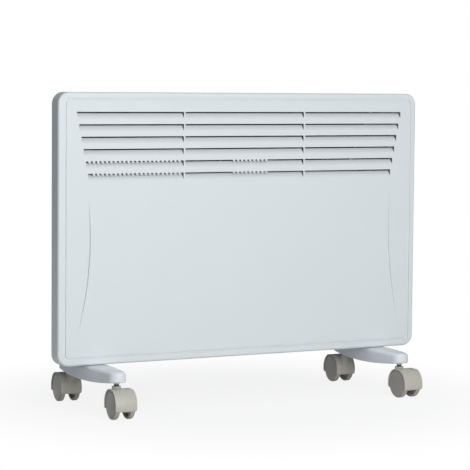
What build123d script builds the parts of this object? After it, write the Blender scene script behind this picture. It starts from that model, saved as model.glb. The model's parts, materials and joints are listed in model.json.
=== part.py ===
from build123d import *
import os
from math import cos, hypot, radians, sin, sqrt

# Free-standing panel convector heater: a louvred steel front shell and a steel back pan hold a
# finned aluminium element; two moulded feet under the body stand on four hooded twin-wheel castors.
# Millimetres. X runs along the heater, Y from the front towards the back, Z up from the floor.
# The origin is on the floor, under the middle of the whole heater's outline.

# ---------------------------------------------------------------- casing
PANEL_WIDTH = 645.0
PANEL_HEIGHT = 417.0
PANEL_CORNER = 18.0  # corner radius of the front, seen from the front
PANEL_EDGE = 4.0  # rounding between the face and the rim
RIM_DEPTH = 24.5  # front face to the back of the rim
LIP = 14.0  # inward return at the back of the rim
BODY_DEPTH = 85.0  # front face to the back wall
SHEET = 0.8  # steel sheet of both shells
LINE_GAP = 0.3  # play between pieces that drop into each other

# Bead pressed round the front, and the two crescent grooves beside the field.
BEAD_INSET = 11.3
BEAD_WIDTH = 3.6
BEAD_DEPTH = 1.8
CRESCENT_DEPTH = 3.0  # deepest point of a crescent, at its middle
CRESCENT_WIDTH = 3.4  # widest point
CRESCENT_TOP_UP = 258.0  # its ends and the middle of its inner arc, from the panel's bottom edge
CRESCENT_MID_UP = 167.0
CRESCENT_LOW_UP = 47.0
CRESCENT_TOP_IN = 49.7  # the same points, from the panel's end
CRESCENT_MID_IN = 53.3
CRESCENT_LOW_IN = 31.8

# Louvres: rows of blades cut on three sides and bent inwards about their lower edge.
LOUVRE_ROWS = 6
LOUVRE_FIRST_DOWN = 29.8  # top edge of the panel to the first row's upper cut
LOUVRE_PITCH = 18.8
LOUVRE_INSET = 30.6  # panel's end to the first row's end
LOUVRE_TAPER = 3.75  # each row is this much shorter at each end
BLADE_LENGTH = 10.0
BLADE_TILT = 38.0  # degrees from upright
BLADE_END_GAP = 0.3
BRIDGE_AT = 108.3  # two upright bridges carry the strips between the rows
BRIDGE_WIDTH = 2.6
TOOTH_ROWS = 2  # the lowest rows have finger guard teeth in two stretches
TOOTH_PITCH = 7.33
TOOTH_WIDTH = 3.7
TOOTH_DROP = 2.8
TOOTH_OUTER_IN = 51.7  # panel's end to the centre of the first tooth of the outer stretch
TOOTH_OUTER_COUNT = 22
TOOTH_INNER = -20.1  # centre of the first tooth of the inner stretch
TOOTH_INNER_COUNT = 9

# ---------------------------------------------------------------- castors
WHEEL_RADIUS = 22.5
WHEEL_WIDTH = 8.5
WHEEL_SPREAD = 17.0  # castor's middle to a wheel's outer face
WHEEL_EDGE = 1.6  # rounding of the tread's edges
WHEEL_DOME = 1.2  # rise of the outer face over its rim
WHEEL_FACE_RADIUS = 20.4
WHEEL_HUB_RADIUS = 6.0
WHEEL_RIM = 3.5  # tread's thickness round the hollow in the inner face
WHEEL_DISH = 4.0  # depth of that hollow
HOOD_GAP = 0.8  # wheel to hood
HOOD_WALL = 1.3
HOOD_OVER = 0.3  # hood's side edge beyond a wheel's outer face
HOOD_CORNER = 3.0  # rounding of the hood's lower corners
HOOD_OPEN = 14.0  # floor to the hood's lower edge
HOOD_WEB = 7.4  # half the width of the web between the wheels
BOSS_RADIUS = 7.0
BOSS_RISE = 0.8  # boss top above the hood
CASTOR_TRAIL = 17.5  # stem to axle
AXLE_RADIUS = 3.0
AXLE_SHORT = 3.4  # axle's end back from a wheel's outer face
STEM_RADIUS = 3.9
STEM_SEAT = 22.0  # stem's length inside the castor's boss
NECK = 3.4  # bare stem between boss and foot
RUNNING_FIT = 0.05  # radial play of a turning fit
SEAT_FIT = 0.02  # radial play of a fixed fit

# ---------------------------------------------------------------- feet
CASTOR_INSET = 68.0  # panel's end to the castors' stems
STEM_FRONT = -63.0  # front stems, from the panel's face
STEM_REAR = 105.0
FOOT_OVER_FRONT = 14.0  # foot's front end beyond its stem
FOOT_OVER_REAR = 21.0  # and its rear end
FOOT_HALF = 20.0  # half the foot's width in the middle
FOOT_END_HALF = 14.0  # and where its round ends start
FOOT_DEPTH = 23.5
FOOT_ARCH = 6.5  # the underside is this much lower in the middle
FOOT_CROWN = 1.6  # the top is this much higher in the middle
FOOT_ROUND = 6.0
FOOT_ROUND_UNDER = 2.0
FOOT_COLLAR = 1.4
FOOT_COLLAR_RADIUS = 5.6
FOOT_COLLAR_TAPER = 0.9
FOOT_CLEAR = 0.6  # foot's top to the panel's bottom edge
FOOT_SOCKET = 15.0
PAD_HALF = 15.0  # half the width of the pedestal under the back pan
PAD_MARGIN = 1.2
PAD_CORNER = 3.0
FOOT_BOLT_RADIUS = 2.5
FOOT_BOLT_PITCH = 26.0
FOOT_BOLT_WEB = 12.0  # plastic under the pan that a bolt head pulls on
BOLT_HEAD_RADIUS = 4.6
BOLT_HEAD_HEIGHT = 3.2
BOLT_HEAD_GAP = 0.6
BOLT_DRIVE_RADIUS = 1.8
BOLT_DRIVE_DEPTH = 1.6
NUT_HALF = 4.0  # half the width across flats
NUT_HEIGHT = 4.0
THREAD_OUT = 1.5

# ---------------------------------------------------------------- back pan and what is screwed to it
PAN_SIDE_INSET = 30.0
PAN_END_INSET = 12.0
PAN_CORNER = 13.0
PAN_EDGE = 3.0
FLANGE_INSET = 4.0
INLET_LENGTH = 44.0
INLET_WIDTH = 5.0
INLET_PITCH = 52.0
INLET_ROW_PITCH = 11.0
INLET_COLUMNS = 5
INLET_ROWS = 3
BRACKET_HOLE_RADIUS = 3.0
BRACKET_SPACING_X = 400.0
BRACKET_SPACING_Z = 250.0
BRACKET_MID_UP = 147.0
SCREW_RADIUS = 1.6
SCREW_HEAD_RADIUS = 3.0
SCREW_HEAD_HEIGHT = 1.8
SCREW_LENGTH = 6.0
SCREW_DRIVE_RADIUS = 1.1
SCREW_DRIVE_DEPTH = 0.9
PANEL_SCREW_UP = (60.0, 208.5, 357.0)
PANEL_SCREW_OUT = (-150.0, 0.0, 150.0)

# ---------------------------------------------------------------- heating element and the sheets round it
ELEMENT_UP = 78.0  # panel's bottom edge to the element's core
ELEMENT_BACK = 31.0  # back wall to the element's core
ELEMENT_INSET = 65.0  # back pan's end to the element's end
ELEMENT_CORE = 6.5
ELEMENT_VANE = 27.0  # reach of each of the four diagonal vanes
ELEMENT_VANE_WALL = 1.6
ELEMENT_RIBS = (9.0, 14.0, 19.0, 24.0)  # ribs across each vane, from the core's axis
ELEMENT_RIB_REACH = 5.0
ELEMENT_RIB_WALL = 1.0
INSULATOR_RADIUS = 6.0
INSULATOR_LENGTH = 18.0
PIN_RADIUS = 2.0
PIN_IN = 10.0
PIN_OUT = 8.0
MOUNT_OUT = 8.0  # element's end to the sheet that holds it
MOUNT_SHEET = 1.2
MOUNT_HALF_HEIGHT = 26.0
MOUNT_FRONT = 12.0  # sheet's front edge before the core's axis
MOUNT_FOOT = 14.0
MOUNT_SCREW_PITCH = 32.0
SHIELD_GAP = 5.0
SHIELD_SHEET = 0.5
SHIELD_INSET = 3.0  # element's end to the shield's end
SHIELD_LOW_UP = 42.0
SHIELD_HIGH_UP = 250.0
SHIELD_FOOT = 10.0
SHIELD_SCREW_IN = 72.0  # from the shield's end
DEFLECTOR_UP = 300.0
DEFLECTOR_INSET = 46.0  # back pan's end to the deflector's end
DEFLECTOR_FOOT = 12.0
DEFLECTOR_SHEET = 0.6
DEFLECTOR_FRONT = 14.0  # its front edge behind the panel's face
DEFLECTOR_DOWN = 17.0  # and below the panel's top
DEFLECTOR_SCREW_IN = 44.0  # from the deflector's end
CUTOUT_RADIUS = 8.0
CUTOUT_HEIGHT = 7.0
CUTOUT_FLANGE = (30.0, 9.0, 0.8)
CUTOUT_IN = 102.0  # from the shield's end
CUTOUT_UP = 180.0
TAB_LENGTH = 7.0
TAB_WIDTH = 6.3
TAB_SHEET = 0.8
TAB_PITCH = 8.0

# ---------------------------------------------------------------- controls, on the right side of the pan
CONTROL_UP = 286.0
CONTROL_HEIGHT = 130.0
CONTROL_INSET = 10.5  # rim's back or back wall to the control tub
CONTROL_DEPTH = 38.0
CONTROL_WALL = 2.0
CONTROL_RIM = 1.5
CONTROL_CORNER = 3.0
FASCIA_SHEET = 2.5
FASCIA_MARGIN = 7.0
FASCIA_CORNER = 5.0
FASCIA_ROUND = 0.8
KNOB_UP = 34.0  # knob's centre above the middle of the controls
KNOB_GAP = 0.7
KNOB_RADIUS = 16.0
KNOB_GRIP_RADIUS = 11.5
KNOB_SKIRT = 5.0
KNOB_HEIGHT = 14.0
KNOB_ROUND = 1.0
KNOB_FLUTES = 12
KNOB_FLUTE_RADIUS = 1.8
KNOB_MARK = (1.2, 4.0, 0.5)  # pointer groove across, along and deep
SPINDLE_RADIUS = 3.0
SPINDLE_BUSH = 4.5
SPINDLE_IN = 16.0
SPINDLE_IN_KNOB = 9.0
THERMOSTAT_GAP = 1.0  # to the tub's walls
THERMOSTAT_DEPTH = 22.0
ROCKER_DOWN = (16.0, 44.0)  # rocker centres below the middle of the controls
ROCKER_FRAME = (15.0, 21.0)  # outside of the bezel, across and along
ROCKER_FRAME_CORNER = 1.5
ROCKER_CUT = (12.6, 19.0)
ROCKER_WELL = (10.0, 16.6)
ROCKER_BEZEL = 1.8
ROCKER_BODY = 17.0
ROCKER_FLOOR = 2.0
ROCKER_END_GAP = 0.4
ROCKER_SIDE_GAP = 0.3
ROCKER_PIVOT_IN = 2.4  # pivot behind the bezel's face
ROCKER_PIVOT_RADIUS = 1.2
ROCKER_PIVOT_OUT = 1.0
ROCKER_TILT = 8.0
ROCKER_MID = 3.4  # rocker's face in front of its pivot, in the middle and at the ends
ROCKER_END = 4.8
ROCKER_BACK = 3.6
LAMP_UP = 8.0
LAMP_RADIUS = 3.2
LAMP_FLANGE = 4.2
LAMP_OUT = 2.0
LAMP_IN = 12.0
LAMP_ROUND = 1.4

# ---------------------------------------------------------------- mains inlet, terminals, tilt switch, wires
GLAND_IN = 72.0  # from the back pan's end
GLAND_BORE = 4.0
GLAND_RADIUS = 7.4
GLAND_FLANGE_RADIUS = 10.5
GLAND_FLANGE = 3.0
GLAND_ROUND = 0.8
GLAND_TOP = 12.0
GLAND_NUT_HALF = 10.0
GLAND_NUT_HEIGHT = 4.5
TERMINAL_IN = 140.0  # from the back pan's end
TERMINAL_SIZE = (34.0, 18.0, 15.0)
TERMINAL_WAYS = 3
TERMINAL_PITCH = 10.0
TERMINAL_HOLE_RADIUS = 2.0
TERMINAL_HOLE_DEPTH = 6.0
TERMINAL_SCREW_PITCH = 24.0
TILT_IN = 104.0  # from the back pan's end
TILT_SIZE = (24.0, 24.0, 30.0)
TILT_WALL = 2.0
TILT_PIVOT_DOWN = 5.0
TILT_PIN_RADIUS = 1.2
TILT_PIN_OUT = 0.9
TILT_BOSS_RADIUS = 2.6
TILT_ARM = 13.0
TILT_ARM_WIDTH = 3.0
TILT_WEIGHT_RADIUS = 3.6
TILT_WEIGHT_LENGTH = 12.0
TILT_SIDE_GAP = 0.6
TILT_SCREW_PITCH = 12.0
WIRE_RADIUS = 1.2
WIRE_BEND = 14.0
WIRE_SHARE = 0.45  # of the shorter run beside a bend
WIRE_TURN = 7.0  # straight wire beside a terminal
WIRE_ENTRY_RADIUS = 5.0  # hole for the wires in the bottom of the control box
WIRE_ENTRY_IN = 19.0  # tub's floor to that hole's centre
WIRE_PITCH = 5.5

# ================================================================ places worked out from the sizes
# Castors, from the floor up. Each rests turned as it last rolled, the rear ones trailing backwards.
castor_x = PANEL_WIDTH / 2 - CASTOR_INSET
CASTORS = {
    "front_left": (-castor_x, STEM_FRONT, -4.5),
    "front_right": (castor_x, STEM_FRONT, 1.0),
    "rear_left": (-castor_x, STEM_REAR, 175.0),
    "rear_right": (castor_x, STEM_REAR, 177.0),
}
hood_inner = WHEEL_RADIUS + HOOD_GAP
hood_outer = hood_inner + HOOD_WALL
hood_half = WHEEL_SPREAD + HOOD_OVER
boss_top = WHEEL_RADIUS + hood_outer + BOSS_RISE
collar_low = boss_top + NECK
under_stem = collar_low + FOOT_COLLAR
foot_front = STEM_FRONT - FOOT_OVER_FRONT
foot_rear = STEM_REAR + FOOT_OVER_REAR
foot_half_length = (foot_rear - foot_front) / 2


def arch_rise(sagitta, along):
    """Rise of a foot-long arc over its middle, at a distance along the foot from the middle."""
    radius = (foot_half_length**2 + sagitta**2) / (2 * sagitta)
    return radius - sqrt(radius**2 - along**2)


foot_low = under_stem - arch_rise(FOOT_ARCH, foot_half_length - FOOT_OVER_FRONT)
foot_top = foot_low + FOOT_DEPTH
panel_low = foot_top + FOOT_CLEAR
panel_mid = panel_low + PANEL_HEIGHT / 2
panel_top = panel_low + PANEL_HEIGHT


def castor_reach(turn):
    """How far a castor's hood stands in front of its stem when it is turned by that many degrees."""
    return (CASTOR_TRAIL + hood_outer) * cos(radians(turn)) + hood_half * abs(sin(radians(turn)))


front_reach = max(castor_reach(turn) - y for _, y, turn in CASTORS.values())
rear_reach = max(castor_reach(turn + 180) + y for _, y, turn in CASTORS.values())
rear_reach = max(rear_reach, foot_rear, BODY_DEPTH)
FACE = (front_reach - rear_reach) / 2  # Y of the panel's face, which centres the whole outline
foot_mid_y = FACE + (foot_front + foot_rear) / 2

pan_half = PANEL_WIDTH / 2 - PAN_SIDE_INSET
pan_low = panel_low + PAN_END_INSET
pan_top = panel_top - PAN_END_INSET
flange_y = FACE + RIM_DEPTH
back_y = FACE + BODY_DEPTH
wall_y = back_y - SHEET  # inner face of the back wall
pan_mid_y = (flange_y + back_y) / 2
floor_z = pan_low + SHEET  # inner floor of the back pan

element_half = pan_half - ELEMENT_INSET
element_y = back_y - ELEMENT_BACK
element_z = panel_low + ELEMENT_UP
mount_x = element_half + MOUNT_OUT
mount_foot_x = mount_x + (MOUNT_SHEET + MOUNT_FOOT) / 2
shield_half = element_half - SHIELD_INSET
deflector_half = pan_half - DEFLECTOR_INSET
shield_low = panel_low + SHIELD_LOW_UP
shield_high = panel_low + SHIELD_HIGH_UP
shield_y = wall_y - SHIELD_GAP - SHIELD_SHEET  # front face of the heat shield
deflector_z = panel_low + DEFLECTOR_UP

control_z = panel_low + CONTROL_UP
control_width = BODY_DEPTH - RIM_DEPTH - 2 * CONTROL_INSET
tub_x = pan_half - CONTROL_DEPTH
fascia_in = pan_half + CONTROL_RIM
fascia_x = fascia_in + FASCIA_SHEET
fascia_width = control_width + 2 * FASCIA_MARGIN
thermostat_size = control_width - 2 * (CONTROL_WALL + THERMOSTAT_GAP)
fascia_height = CONTROL_HEIGHT + 2 * FASCIA_MARGIN
knob_z = control_z + KNOB_UP
knob_x = fascia_x + KNOB_GAP
rocker_x = fascia_x + ROCKER_BEZEL - ROCKER_PIVOT_IN
lamp_z = control_z + LAMP_UP
gland_x = pan_half - GLAND_IN
terminal_x = pan_half - TERMINAL_IN
tilt_x = pan_half - TILT_IN


def facing(y):
    """A plane across the heater at y, seen from the front: its x is X and its y is Z."""
    return Plane(origin=(0, y, 0), x_dir=(1, 0, 0), z_dir=(0, -1, 0))


def sideways(x):
    """A plane along the heater's depth at x: its x is Y and its y is Z."""
    return Plane(origin=(x, 0, 0), x_dir=(0, 1, 0), z_dir=(1, 0, 0))


# Screw places, used by the screws and by the holes of what they go through.
panel_screws_at = []
for side in (-1, 1):
    for up in PANEL_SCREW_UP:
        panel_screws_at.append((side * (PANEL_WIDTH - FLANGE_INSET - LIP) / 2, panel_low + up))
    end_z = panel_mid + side * (PANEL_HEIGHT - FLANGE_INSET - PAN_END_INSET) / 2
    for out in PANEL_SCREW_OUT:
        panel_screws_at.append((out, end_z))
mount_screws_at = []
for side in (-1, 1):
    for end in (-1, 1):
        mount_screws_at.append((side * mount_foot_x, element_z + end * MOUNT_SCREW_PITCH / 2))
shield_screws_at = []
for side in (-1, 1):
    shield_screws_at.append((side * (shield_half - SHIELD_SCREW_IN), shield_low - SHIELD_FOOT / 2))
    shield_screws_at.append((side * (shield_half - SHIELD_SCREW_IN), shield_high + SHIELD_FOOT / 2))
deflector_screws_at = []
for side in (-1, 0, 1):
    across = side * (deflector_half - DEFLECTOR_SCREW_IN)
    deflector_screws_at.append((across, deflector_z + DEFLECTOR_FOOT / 2))
back_screws_at = mount_screws_at + shield_screws_at + deflector_screws_at
fascia_screws_at = []
for side in (-1, 1):
    for end in (-1, 1):
        across = side * (fascia_width - FASCIA_MARGIN) / 2
        along = end * (fascia_height - FASCIA_MARGIN) / 2
        fascia_screws_at.append((pan_mid_y + across, control_z + along))
terminal_screws_at = []
tilt_screws_at = []
foot_bolts_y = []
for side in (-1, 1):
    terminal_screws_at.append((terminal_x + side * TERMINAL_SCREW_PITCH / 2, pan_mid_y))
    tilt_screws_at.append((tilt_x + side * TILT_SCREW_PITCH / 2, pan_mid_y))
    foot_bolts_y.append(pan_mid_y + side * FOOT_BOLT_PITCH / 2)
floor_screws_at = terminal_screws_at + tilt_screws_at
foot_bolts_at = [(side * castor_x, y) for side in (-1, 1) for y in foot_bolts_y]


def tray(width, height, corner, edge, y_closed, y_open):
    """A rounded block about the panel's middle, with a rounded edge at its closed end."""
    with BuildPart() as block:
        with BuildSketch(facing(y_closed)):
            with Locations((0, panel_mid)):
                RectangleRounded(width, height, corner)
        extrude(amount=y_closed - y_open)
        closed_end = block.faces().sort_by(Axis.Y)[0 if y_open > y_closed else -1]
        fillet(closed_end.edges(), edge)
    return block.part


# ================================================================ front panel
louvre_tops = [panel_top - LOUVRE_FIRST_DOWN - row * LOUVRE_PITCH for row in range(LOUVRE_ROWS)]
louvre_half = PANEL_WIDTH / 2 - LOUVRE_INSET
louvre_halves = [louvre_half - row * LOUVRE_TAPER for row in range(LOUVRE_ROWS)]


def louvre_bays(half):
    """The three bays of a row, as (left end, right end), between the ends and the bridges."""
    near = BRIDGE_AT - BRIDGE_WIDTH / 2
    far = BRIDGE_AT + BRIDGE_WIDTH / 2
    return [(-half, -far), (-near, near), (far, half)]


def teeth_across(half):
    """The X of each guard tooth in a row of that half length."""
    starts = [(TOOTH_OUTER_IN - PANEL_WIDTH / 2, TOOTH_OUTER_COUNT), (TOOTH_INNER, TOOTH_INNER_COUNT)]
    spots = [start + tooth * TOOTH_PITCH for start, count in starts for tooth in range(count)]
    return [x for x in spots if abs(x) < half - TOOTH_PITCH / 2]


def crescent(side, grow):
    """A crescent groove in the face, between two arcs that meet at its ends.

    Its depth grows with the distance from the line that joins its ends, where it is nothing. With grow,
    its middle is wider by that much on both sides and its floor that much deeper.
    """
    middle_in = PANEL_WIDTH / 2 - CRESCENT_MID_IN
    top = (side * (PANEL_WIDTH / 2 - CRESCENT_TOP_IN), panel_low + CRESCENT_TOP_UP)
    inner = (side * (middle_in - grow), panel_low + CRESCENT_MID_UP)
    outer = (side * (middle_in + CRESCENT_WIDTH + grow), panel_low + CRESCENT_MID_UP)
    low = (side * (PANEL_WIDTH / 2 - CRESCENT_LOW_IN), panel_low + CRESCENT_LOW_UP)
    chord_x = low[0] + (top[0] - low[0]) * (inner[1] - low[1]) / (top[1] - low[1])
    run = Vector(low[0] - top[0], 0, low[1] - top[1])
    sink = Vector(side * middle_in - chord_x, CRESCENT_DEPTH, 0)
    normal = run.cross(sink) * side
    floor_plane = Plane(origin=(top[0], FACE + grow, top[1]), z_dir=normal)
    with BuildPart() as groove:
        with BuildSketch(facing(FACE)):
            with BuildLine():
                ThreePointArc(top, inner, low)
                ThreePointArc(low, outer, top)
            make_face()
        extrude(amount=-2 * CRESCENT_DEPTH)
        split(bisect_by=floor_plane, keep=Keep.BOTTOM)
    return groove.part


def bead(y, width, depth):
    """The ring of the pressed bead, of that width and depth behind y."""
    across = PANEL_WIDTH - 2 * BEAD_INSET
    along = PANEL_HEIGHT - 2 * BEAD_INSET
    corner = PANEL_CORNER - BEAD_INSET
    with BuildPart() as ring:
        with BuildSketch(facing(y)):
            with Locations((0, panel_mid)):
                RectangleRounded(across + width, along + width, corner + width / 2)
                RectangleRounded(across - width, along - width, corner - width / 2, mode=Mode.SUBTRACT)
        extrude(amount=-depth)
    return ring.part


panel_outer = tray(PANEL_WIDTH, PANEL_HEIGHT, PANEL_CORNER, PANEL_EDGE, FACE, flange_y)
panel_inner = tray(
    PANEL_WIDTH - 2 * SHEET,
    PANEL_HEIGHT - 2 * SHEET,
    PANEL_CORNER - SHEET,
    PANEL_EDGE - SHEET,
    FACE + SHEET,
    flange_y - SHEET,
)
bead_groove = bead(FACE, BEAD_WIDTH, BEAD_DEPTH)
bead_back = bead(FACE + SHEET / 2, BEAD_WIDTH + SHEET, BEAD_DEPTH + SHEET / 2)
crescent_grooves = [crescent(side, 0) for side in (-1, 1)]
crescent_backs = [crescent(side, SHEET) for side in (-1, 1)]
blade_way = Vector(0, sin(radians(BLADE_TILT)), cos(radians(BLADE_TILT)))
blade_back = Vector(0, cos(radians(BLADE_TILT)), -sin(radians(BLADE_TILT)))

with BuildPart() as louvre_blades:
    for top, half in zip(louvre_tops, louvre_halves):
        root = Vector(0, FACE, top - BLADE_LENGTH)
        tip = root + blade_way * BLADE_LENGTH
        corners = [root, tip, tip + blade_back * SHEET, root + blade_back * SHEET, root - Vector(0, 0, SHEET)]
        for left, right in louvre_bays(half):
            with BuildSketch(sideways(left + BLADE_END_GAP)):
                Polygon(*[(corner.Y, corner.Z) for corner in corners], align=None)
            extrude(amount=right - left - 2 * BLADE_END_GAP)

with BuildPart() as front_panel:
    add(panel_outer)
    add(panel_inner, mode=Mode.SUBTRACT)
    with BuildSketch(facing(flange_y)):
        with Locations((0, panel_mid)):
            RectangleRounded(PANEL_WIDTH - 2 * LIP, PANEL_HEIGHT - 2 * LIP, PANEL_CORNER - LIP)
        with Locations(*panel_screws_at):
            Circle(SCREW_RADIUS + SEAT_FIT)
    extrude(amount=2 * SHEET, mode=Mode.SUBTRACT)
    add(bead_back)
    add(crescent_backs)
    add(bead_groove, mode=Mode.SUBTRACT)
    add(crescent_grooves, mode=Mode.SUBTRACT)
    with BuildSketch(facing(FACE)):
        for top, half in zip(louvre_tops, louvre_halves):
            for left, right in louvre_bays(half):
                with Locations(((left + right) / 2, top - BLADE_LENGTH / 2)):
                    Rectangle(right - left, BLADE_LENGTH)
    extrude(amount=-SHEET, mode=Mode.SUBTRACT)
    add(louvre_blades.part)
    with BuildSketch(facing(FACE)):
        for top, half in list(zip(louvre_tops, louvre_halves))[-TOOTH_ROWS:]:
            with Locations(*[(x, top) for x in teeth_across(half)]):
                Rectangle(TOOTH_WIDTH, 2 * TOOTH_DROP)
    extrude(amount=-SHEET)
front_panel.part.label = "front_panel"

# ================================================================ back pan
pan_outer = tray(2 * pan_half, pan_top - pan_low, PAN_CORNER, PAN_EDGE, back_y, flange_y)
pan_inner = tray(
    2 * (pan_half - SHEET),
    pan_top - pan_low - 2 * SHEET,
    PAN_CORNER - SHEET,
    PAN_EDGE - SHEET,
    wall_y,
    flange_y,
)

with BuildPart() as rear_housing:
    add(pan_outer)
    with BuildSketch(facing(flange_y)):
        with Locations((0, panel_mid)):
            RectangleRounded(
                PANEL_WIDTH - 2 * FLANGE_INSET,
                PANEL_HEIGHT - 2 * FLANGE_INSET,
                PANEL_CORNER - FLANGE_INSET,
            )
    extrude(amount=-SHEET)
    add(pan_inner, mode=Mode.SUBTRACT)
    with BuildSketch(facing(flange_y)):
        with Locations(*panel_screws_at):
            Circle(SCREW_RADIUS + SEAT_FIT)
    extrude(amount=-SHEET, mode=Mode.SUBTRACT)
    with BuildSketch(facing(wall_y)):
        with Locations(*back_screws_at):
            Circle(SCREW_RADIUS + SEAT_FIT)
        with Locations((0, panel_low + BRACKET_MID_UP)):
            with GridLocations(BRACKET_SPACING_X, BRACKET_SPACING_Z, 2, 2):
                Circle(BRACKET_HOLE_RADIUS)
    extrude(amount=-SHEET, mode=Mode.SUBTRACT)
    with BuildSketch(Plane.XY.offset(pan_low)):
        with Locations(*floor_screws_at):
            Circle(SCREW_RADIUS + SEAT_FIT)
        with Locations(*foot_bolts_at):
            Circle(FOOT_BOLT_RADIUS + SEAT_FIT)
        with Locations((gland_x, pan_mid_y)):
            Circle(GLAND_RADIUS + SEAT_FIT)
        with Locations((0, pan_mid_y)):
            with GridLocations(INLET_PITCH, INLET_ROW_PITCH, INLET_COLUMNS, INLET_ROWS):
                SlotOverall(INLET_LENGTH, INLET_WIDTH)
    extrude(amount=SHEET, mode=Mode.SUBTRACT)
    with BuildSketch(sideways(pan_half - SHEET)):
        with Locations((pan_mid_y, control_z)):
            RectangleRounded(
                control_width + 2 * LINE_GAP,
                CONTROL_HEIGHT + 2 * LINE_GAP,
                CONTROL_CORNER + LINE_GAP,
            )
        with Locations(*fascia_screws_at):
            Circle(SCREW_RADIUS + SEAT_FIT)
    extrude(amount=SHEET, mode=Mode.SUBTRACT)
rear_housing.part.label = "rear_housing"

# ================================================================ heating element and its sheets
with BuildPart() as heating_element:
    with BuildSketch(sideways(-element_half)):
        with Locations((element_y, element_z)):
            Circle(ELEMENT_CORE)
            with PolarLocations(0, 4, start_angle=45):
                Rectangle(ELEMENT_VANE, ELEMENT_VANE_WALL, align=(Align.MIN, Align.CENTER))
            for out in ELEMENT_RIBS:
                with PolarLocations(out, 4, start_angle=45):
                    Rectangle(ELEMENT_RIB_WALL, 2 * ELEMENT_RIB_REACH)
    extrude(amount=2 * element_half)
    for end in (-1, 1):
        with BuildSketch(sideways(end * element_half)):
            with Locations((element_y, element_z)):
                Circle(PIN_RADIUS + SEAT_FIT)
        extrude(amount=-end * (PIN_IN + LINE_GAP), mode=Mode.SUBTRACT)
heating_element.part.label = "heating_element"

with BuildPart() as insulator:
    with BuildSketch(sideways(element_half)):
        with Locations((element_y, element_z)):
            Circle(INSULATOR_RADIUS)
            Circle(PIN_RADIUS + SEAT_FIT, mode=Mode.SUBTRACT)
    extrude(amount=INSULATOR_LENGTH)

with BuildPart() as terminal_pin:
    with BuildSketch(sideways(element_half - PIN_IN)):
        with Locations((element_y, element_z)):
            Circle(PIN_RADIUS)
    extrude(amount=PIN_IN + INSULATOR_LENGTH + PIN_OUT)

with BuildPart() as element_mount:
    with BuildSketch(Plane.XY.offset(element_z - MOUNT_HALF_HEIGHT)):
        with Locations((mount_x, element_y - MOUNT_FRONT)):
            Rectangle(MOUNT_SHEET, wall_y - element_y + MOUNT_FRONT, align=(Align.MIN, Align.MIN))
        with Locations((mount_x, wall_y)):
            Rectangle(MOUNT_FOOT, MOUNT_SHEET, align=(Align.MIN, Align.MAX))
    extrude(amount=2 * MOUNT_HALF_HEIGHT)
    with BuildSketch(sideways(mount_x)):
        with Locations((element_y, element_z)):
            Circle(INSULATOR_RADIUS + SEAT_FIT)
    extrude(amount=MOUNT_SHEET, mode=Mode.SUBTRACT)
    with BuildSketch(facing(wall_y)):
        with Locations(*mount_screws_at):
            Circle(SCREW_RADIUS + SEAT_FIT)
    extrude(amount=MOUNT_SHEET, mode=Mode.SUBTRACT)

element_ends = {}
for base, piece in (
    ("element_insulator", insulator.part),
    ("element_terminal", terminal_pin.part),
    ("element_bracket", element_mount.part),
):
    element_ends[base + "_right"] = piece
    element_ends[base + "_left"] = mirror(piece, about=Plane.YZ)

with BuildPart() as heat_shield:
    with BuildSketch(sideways(-shield_half)):
        with Locations((shield_y, shield_low)):
            Rectangle(SHIELD_SHEET, shield_high - shield_low, align=(Align.MIN, Align.MIN))
        with Locations((shield_y, shield_low), (shield_y, shield_high - SHIELD_SHEET)):
            Rectangle(wall_y - shield_y, SHIELD_SHEET, align=(Align.MIN, Align.MIN))
        with Locations((wall_y, shield_low - SHIELD_FOOT), (wall_y, shield_high - SHIELD_SHEET)):
            Rectangle(SHIELD_SHEET, SHIELD_FOOT + SHIELD_SHEET, align=(Align.MAX, Align.MIN))
    extrude(amount=2 * shield_half)
    with BuildSketch(facing(wall_y)):
        with Locations(*shield_screws_at):
            Circle(SCREW_RADIUS + SEAT_FIT)
    extrude(amount=SHIELD_SHEET, mode=Mode.SUBTRACT)
heat_shield.part.label = "heat_shield"

deflector_bend = deflector_z + DEFLECTOR_FOOT
deflector_end_y = FACE + DEFLECTOR_FRONT
deflector_end_z = panel_top - DEFLECTOR_DOWN
deflector_slant = hypot(wall_y - deflector_end_y, deflector_end_z - deflector_bend)
deflector_band = DEFLECTOR_SHEET * deflector_slant / (deflector_end_z - deflector_bend)
with BuildPart() as air_deflector:
    with BuildSketch(sideways(-deflector_half)):
        Polygon(
            (wall_y, deflector_z),
            (wall_y, deflector_bend),
            (deflector_end_y + deflector_band, deflector_end_z),
            (deflector_end_y, deflector_end_z),
            (wall_y - DEFLECTOR_SHEET, deflector_bend),
            (wall_y - DEFLECTOR_SHEET, deflector_z),
            align=None,
        )
    extrude(amount=2 * deflector_half)
    with BuildSketch(facing(wall_y)):
        with Locations(*deflector_screws_at):
            Circle(SCREW_RADIUS + SEAT_FIT)
    extrude(amount=DEFLECTOR_SHEET, mode=Mode.SUBTRACT)
air_deflector.part.label = "air_deflector"

cutout_x = shield_half - CUTOUT_IN
cutout_face = shield_y - CUTOUT_FLANGE[2] - CUTOUT_HEIGHT
tabs_at = [(cutout_x + end * TAB_PITCH / 2, panel_low + CUTOUT_UP) for end in (-1, 1)]
with BuildPart() as thermal_cutout:
    with BuildSketch(facing(shield_y)):
        with Locations((cutout_x, panel_low + CUTOUT_UP)):
            SlotOverall(CUTOUT_FLANGE[0], CUTOUT_FLANGE[1])
    extrude(amount=CUTOUT_FLANGE[2])
    with BuildSketch(facing(shield_y)):
        with Locations((cutout_x, panel_low + CUTOUT_UP)):
            Circle(CUTOUT_RADIUS)
    extrude(amount=CUTOUT_FLANGE[2] + CUTOUT_HEIGHT)
    with BuildSketch(facing(cutout_face)):
        with Locations(*tabs_at):
            Rectangle(TAB_SHEET, TAB_WIDTH)
    extrude(amount=TAB_LENGTH)
thermal_cutout.part.label = "thermal_cutout"

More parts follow.
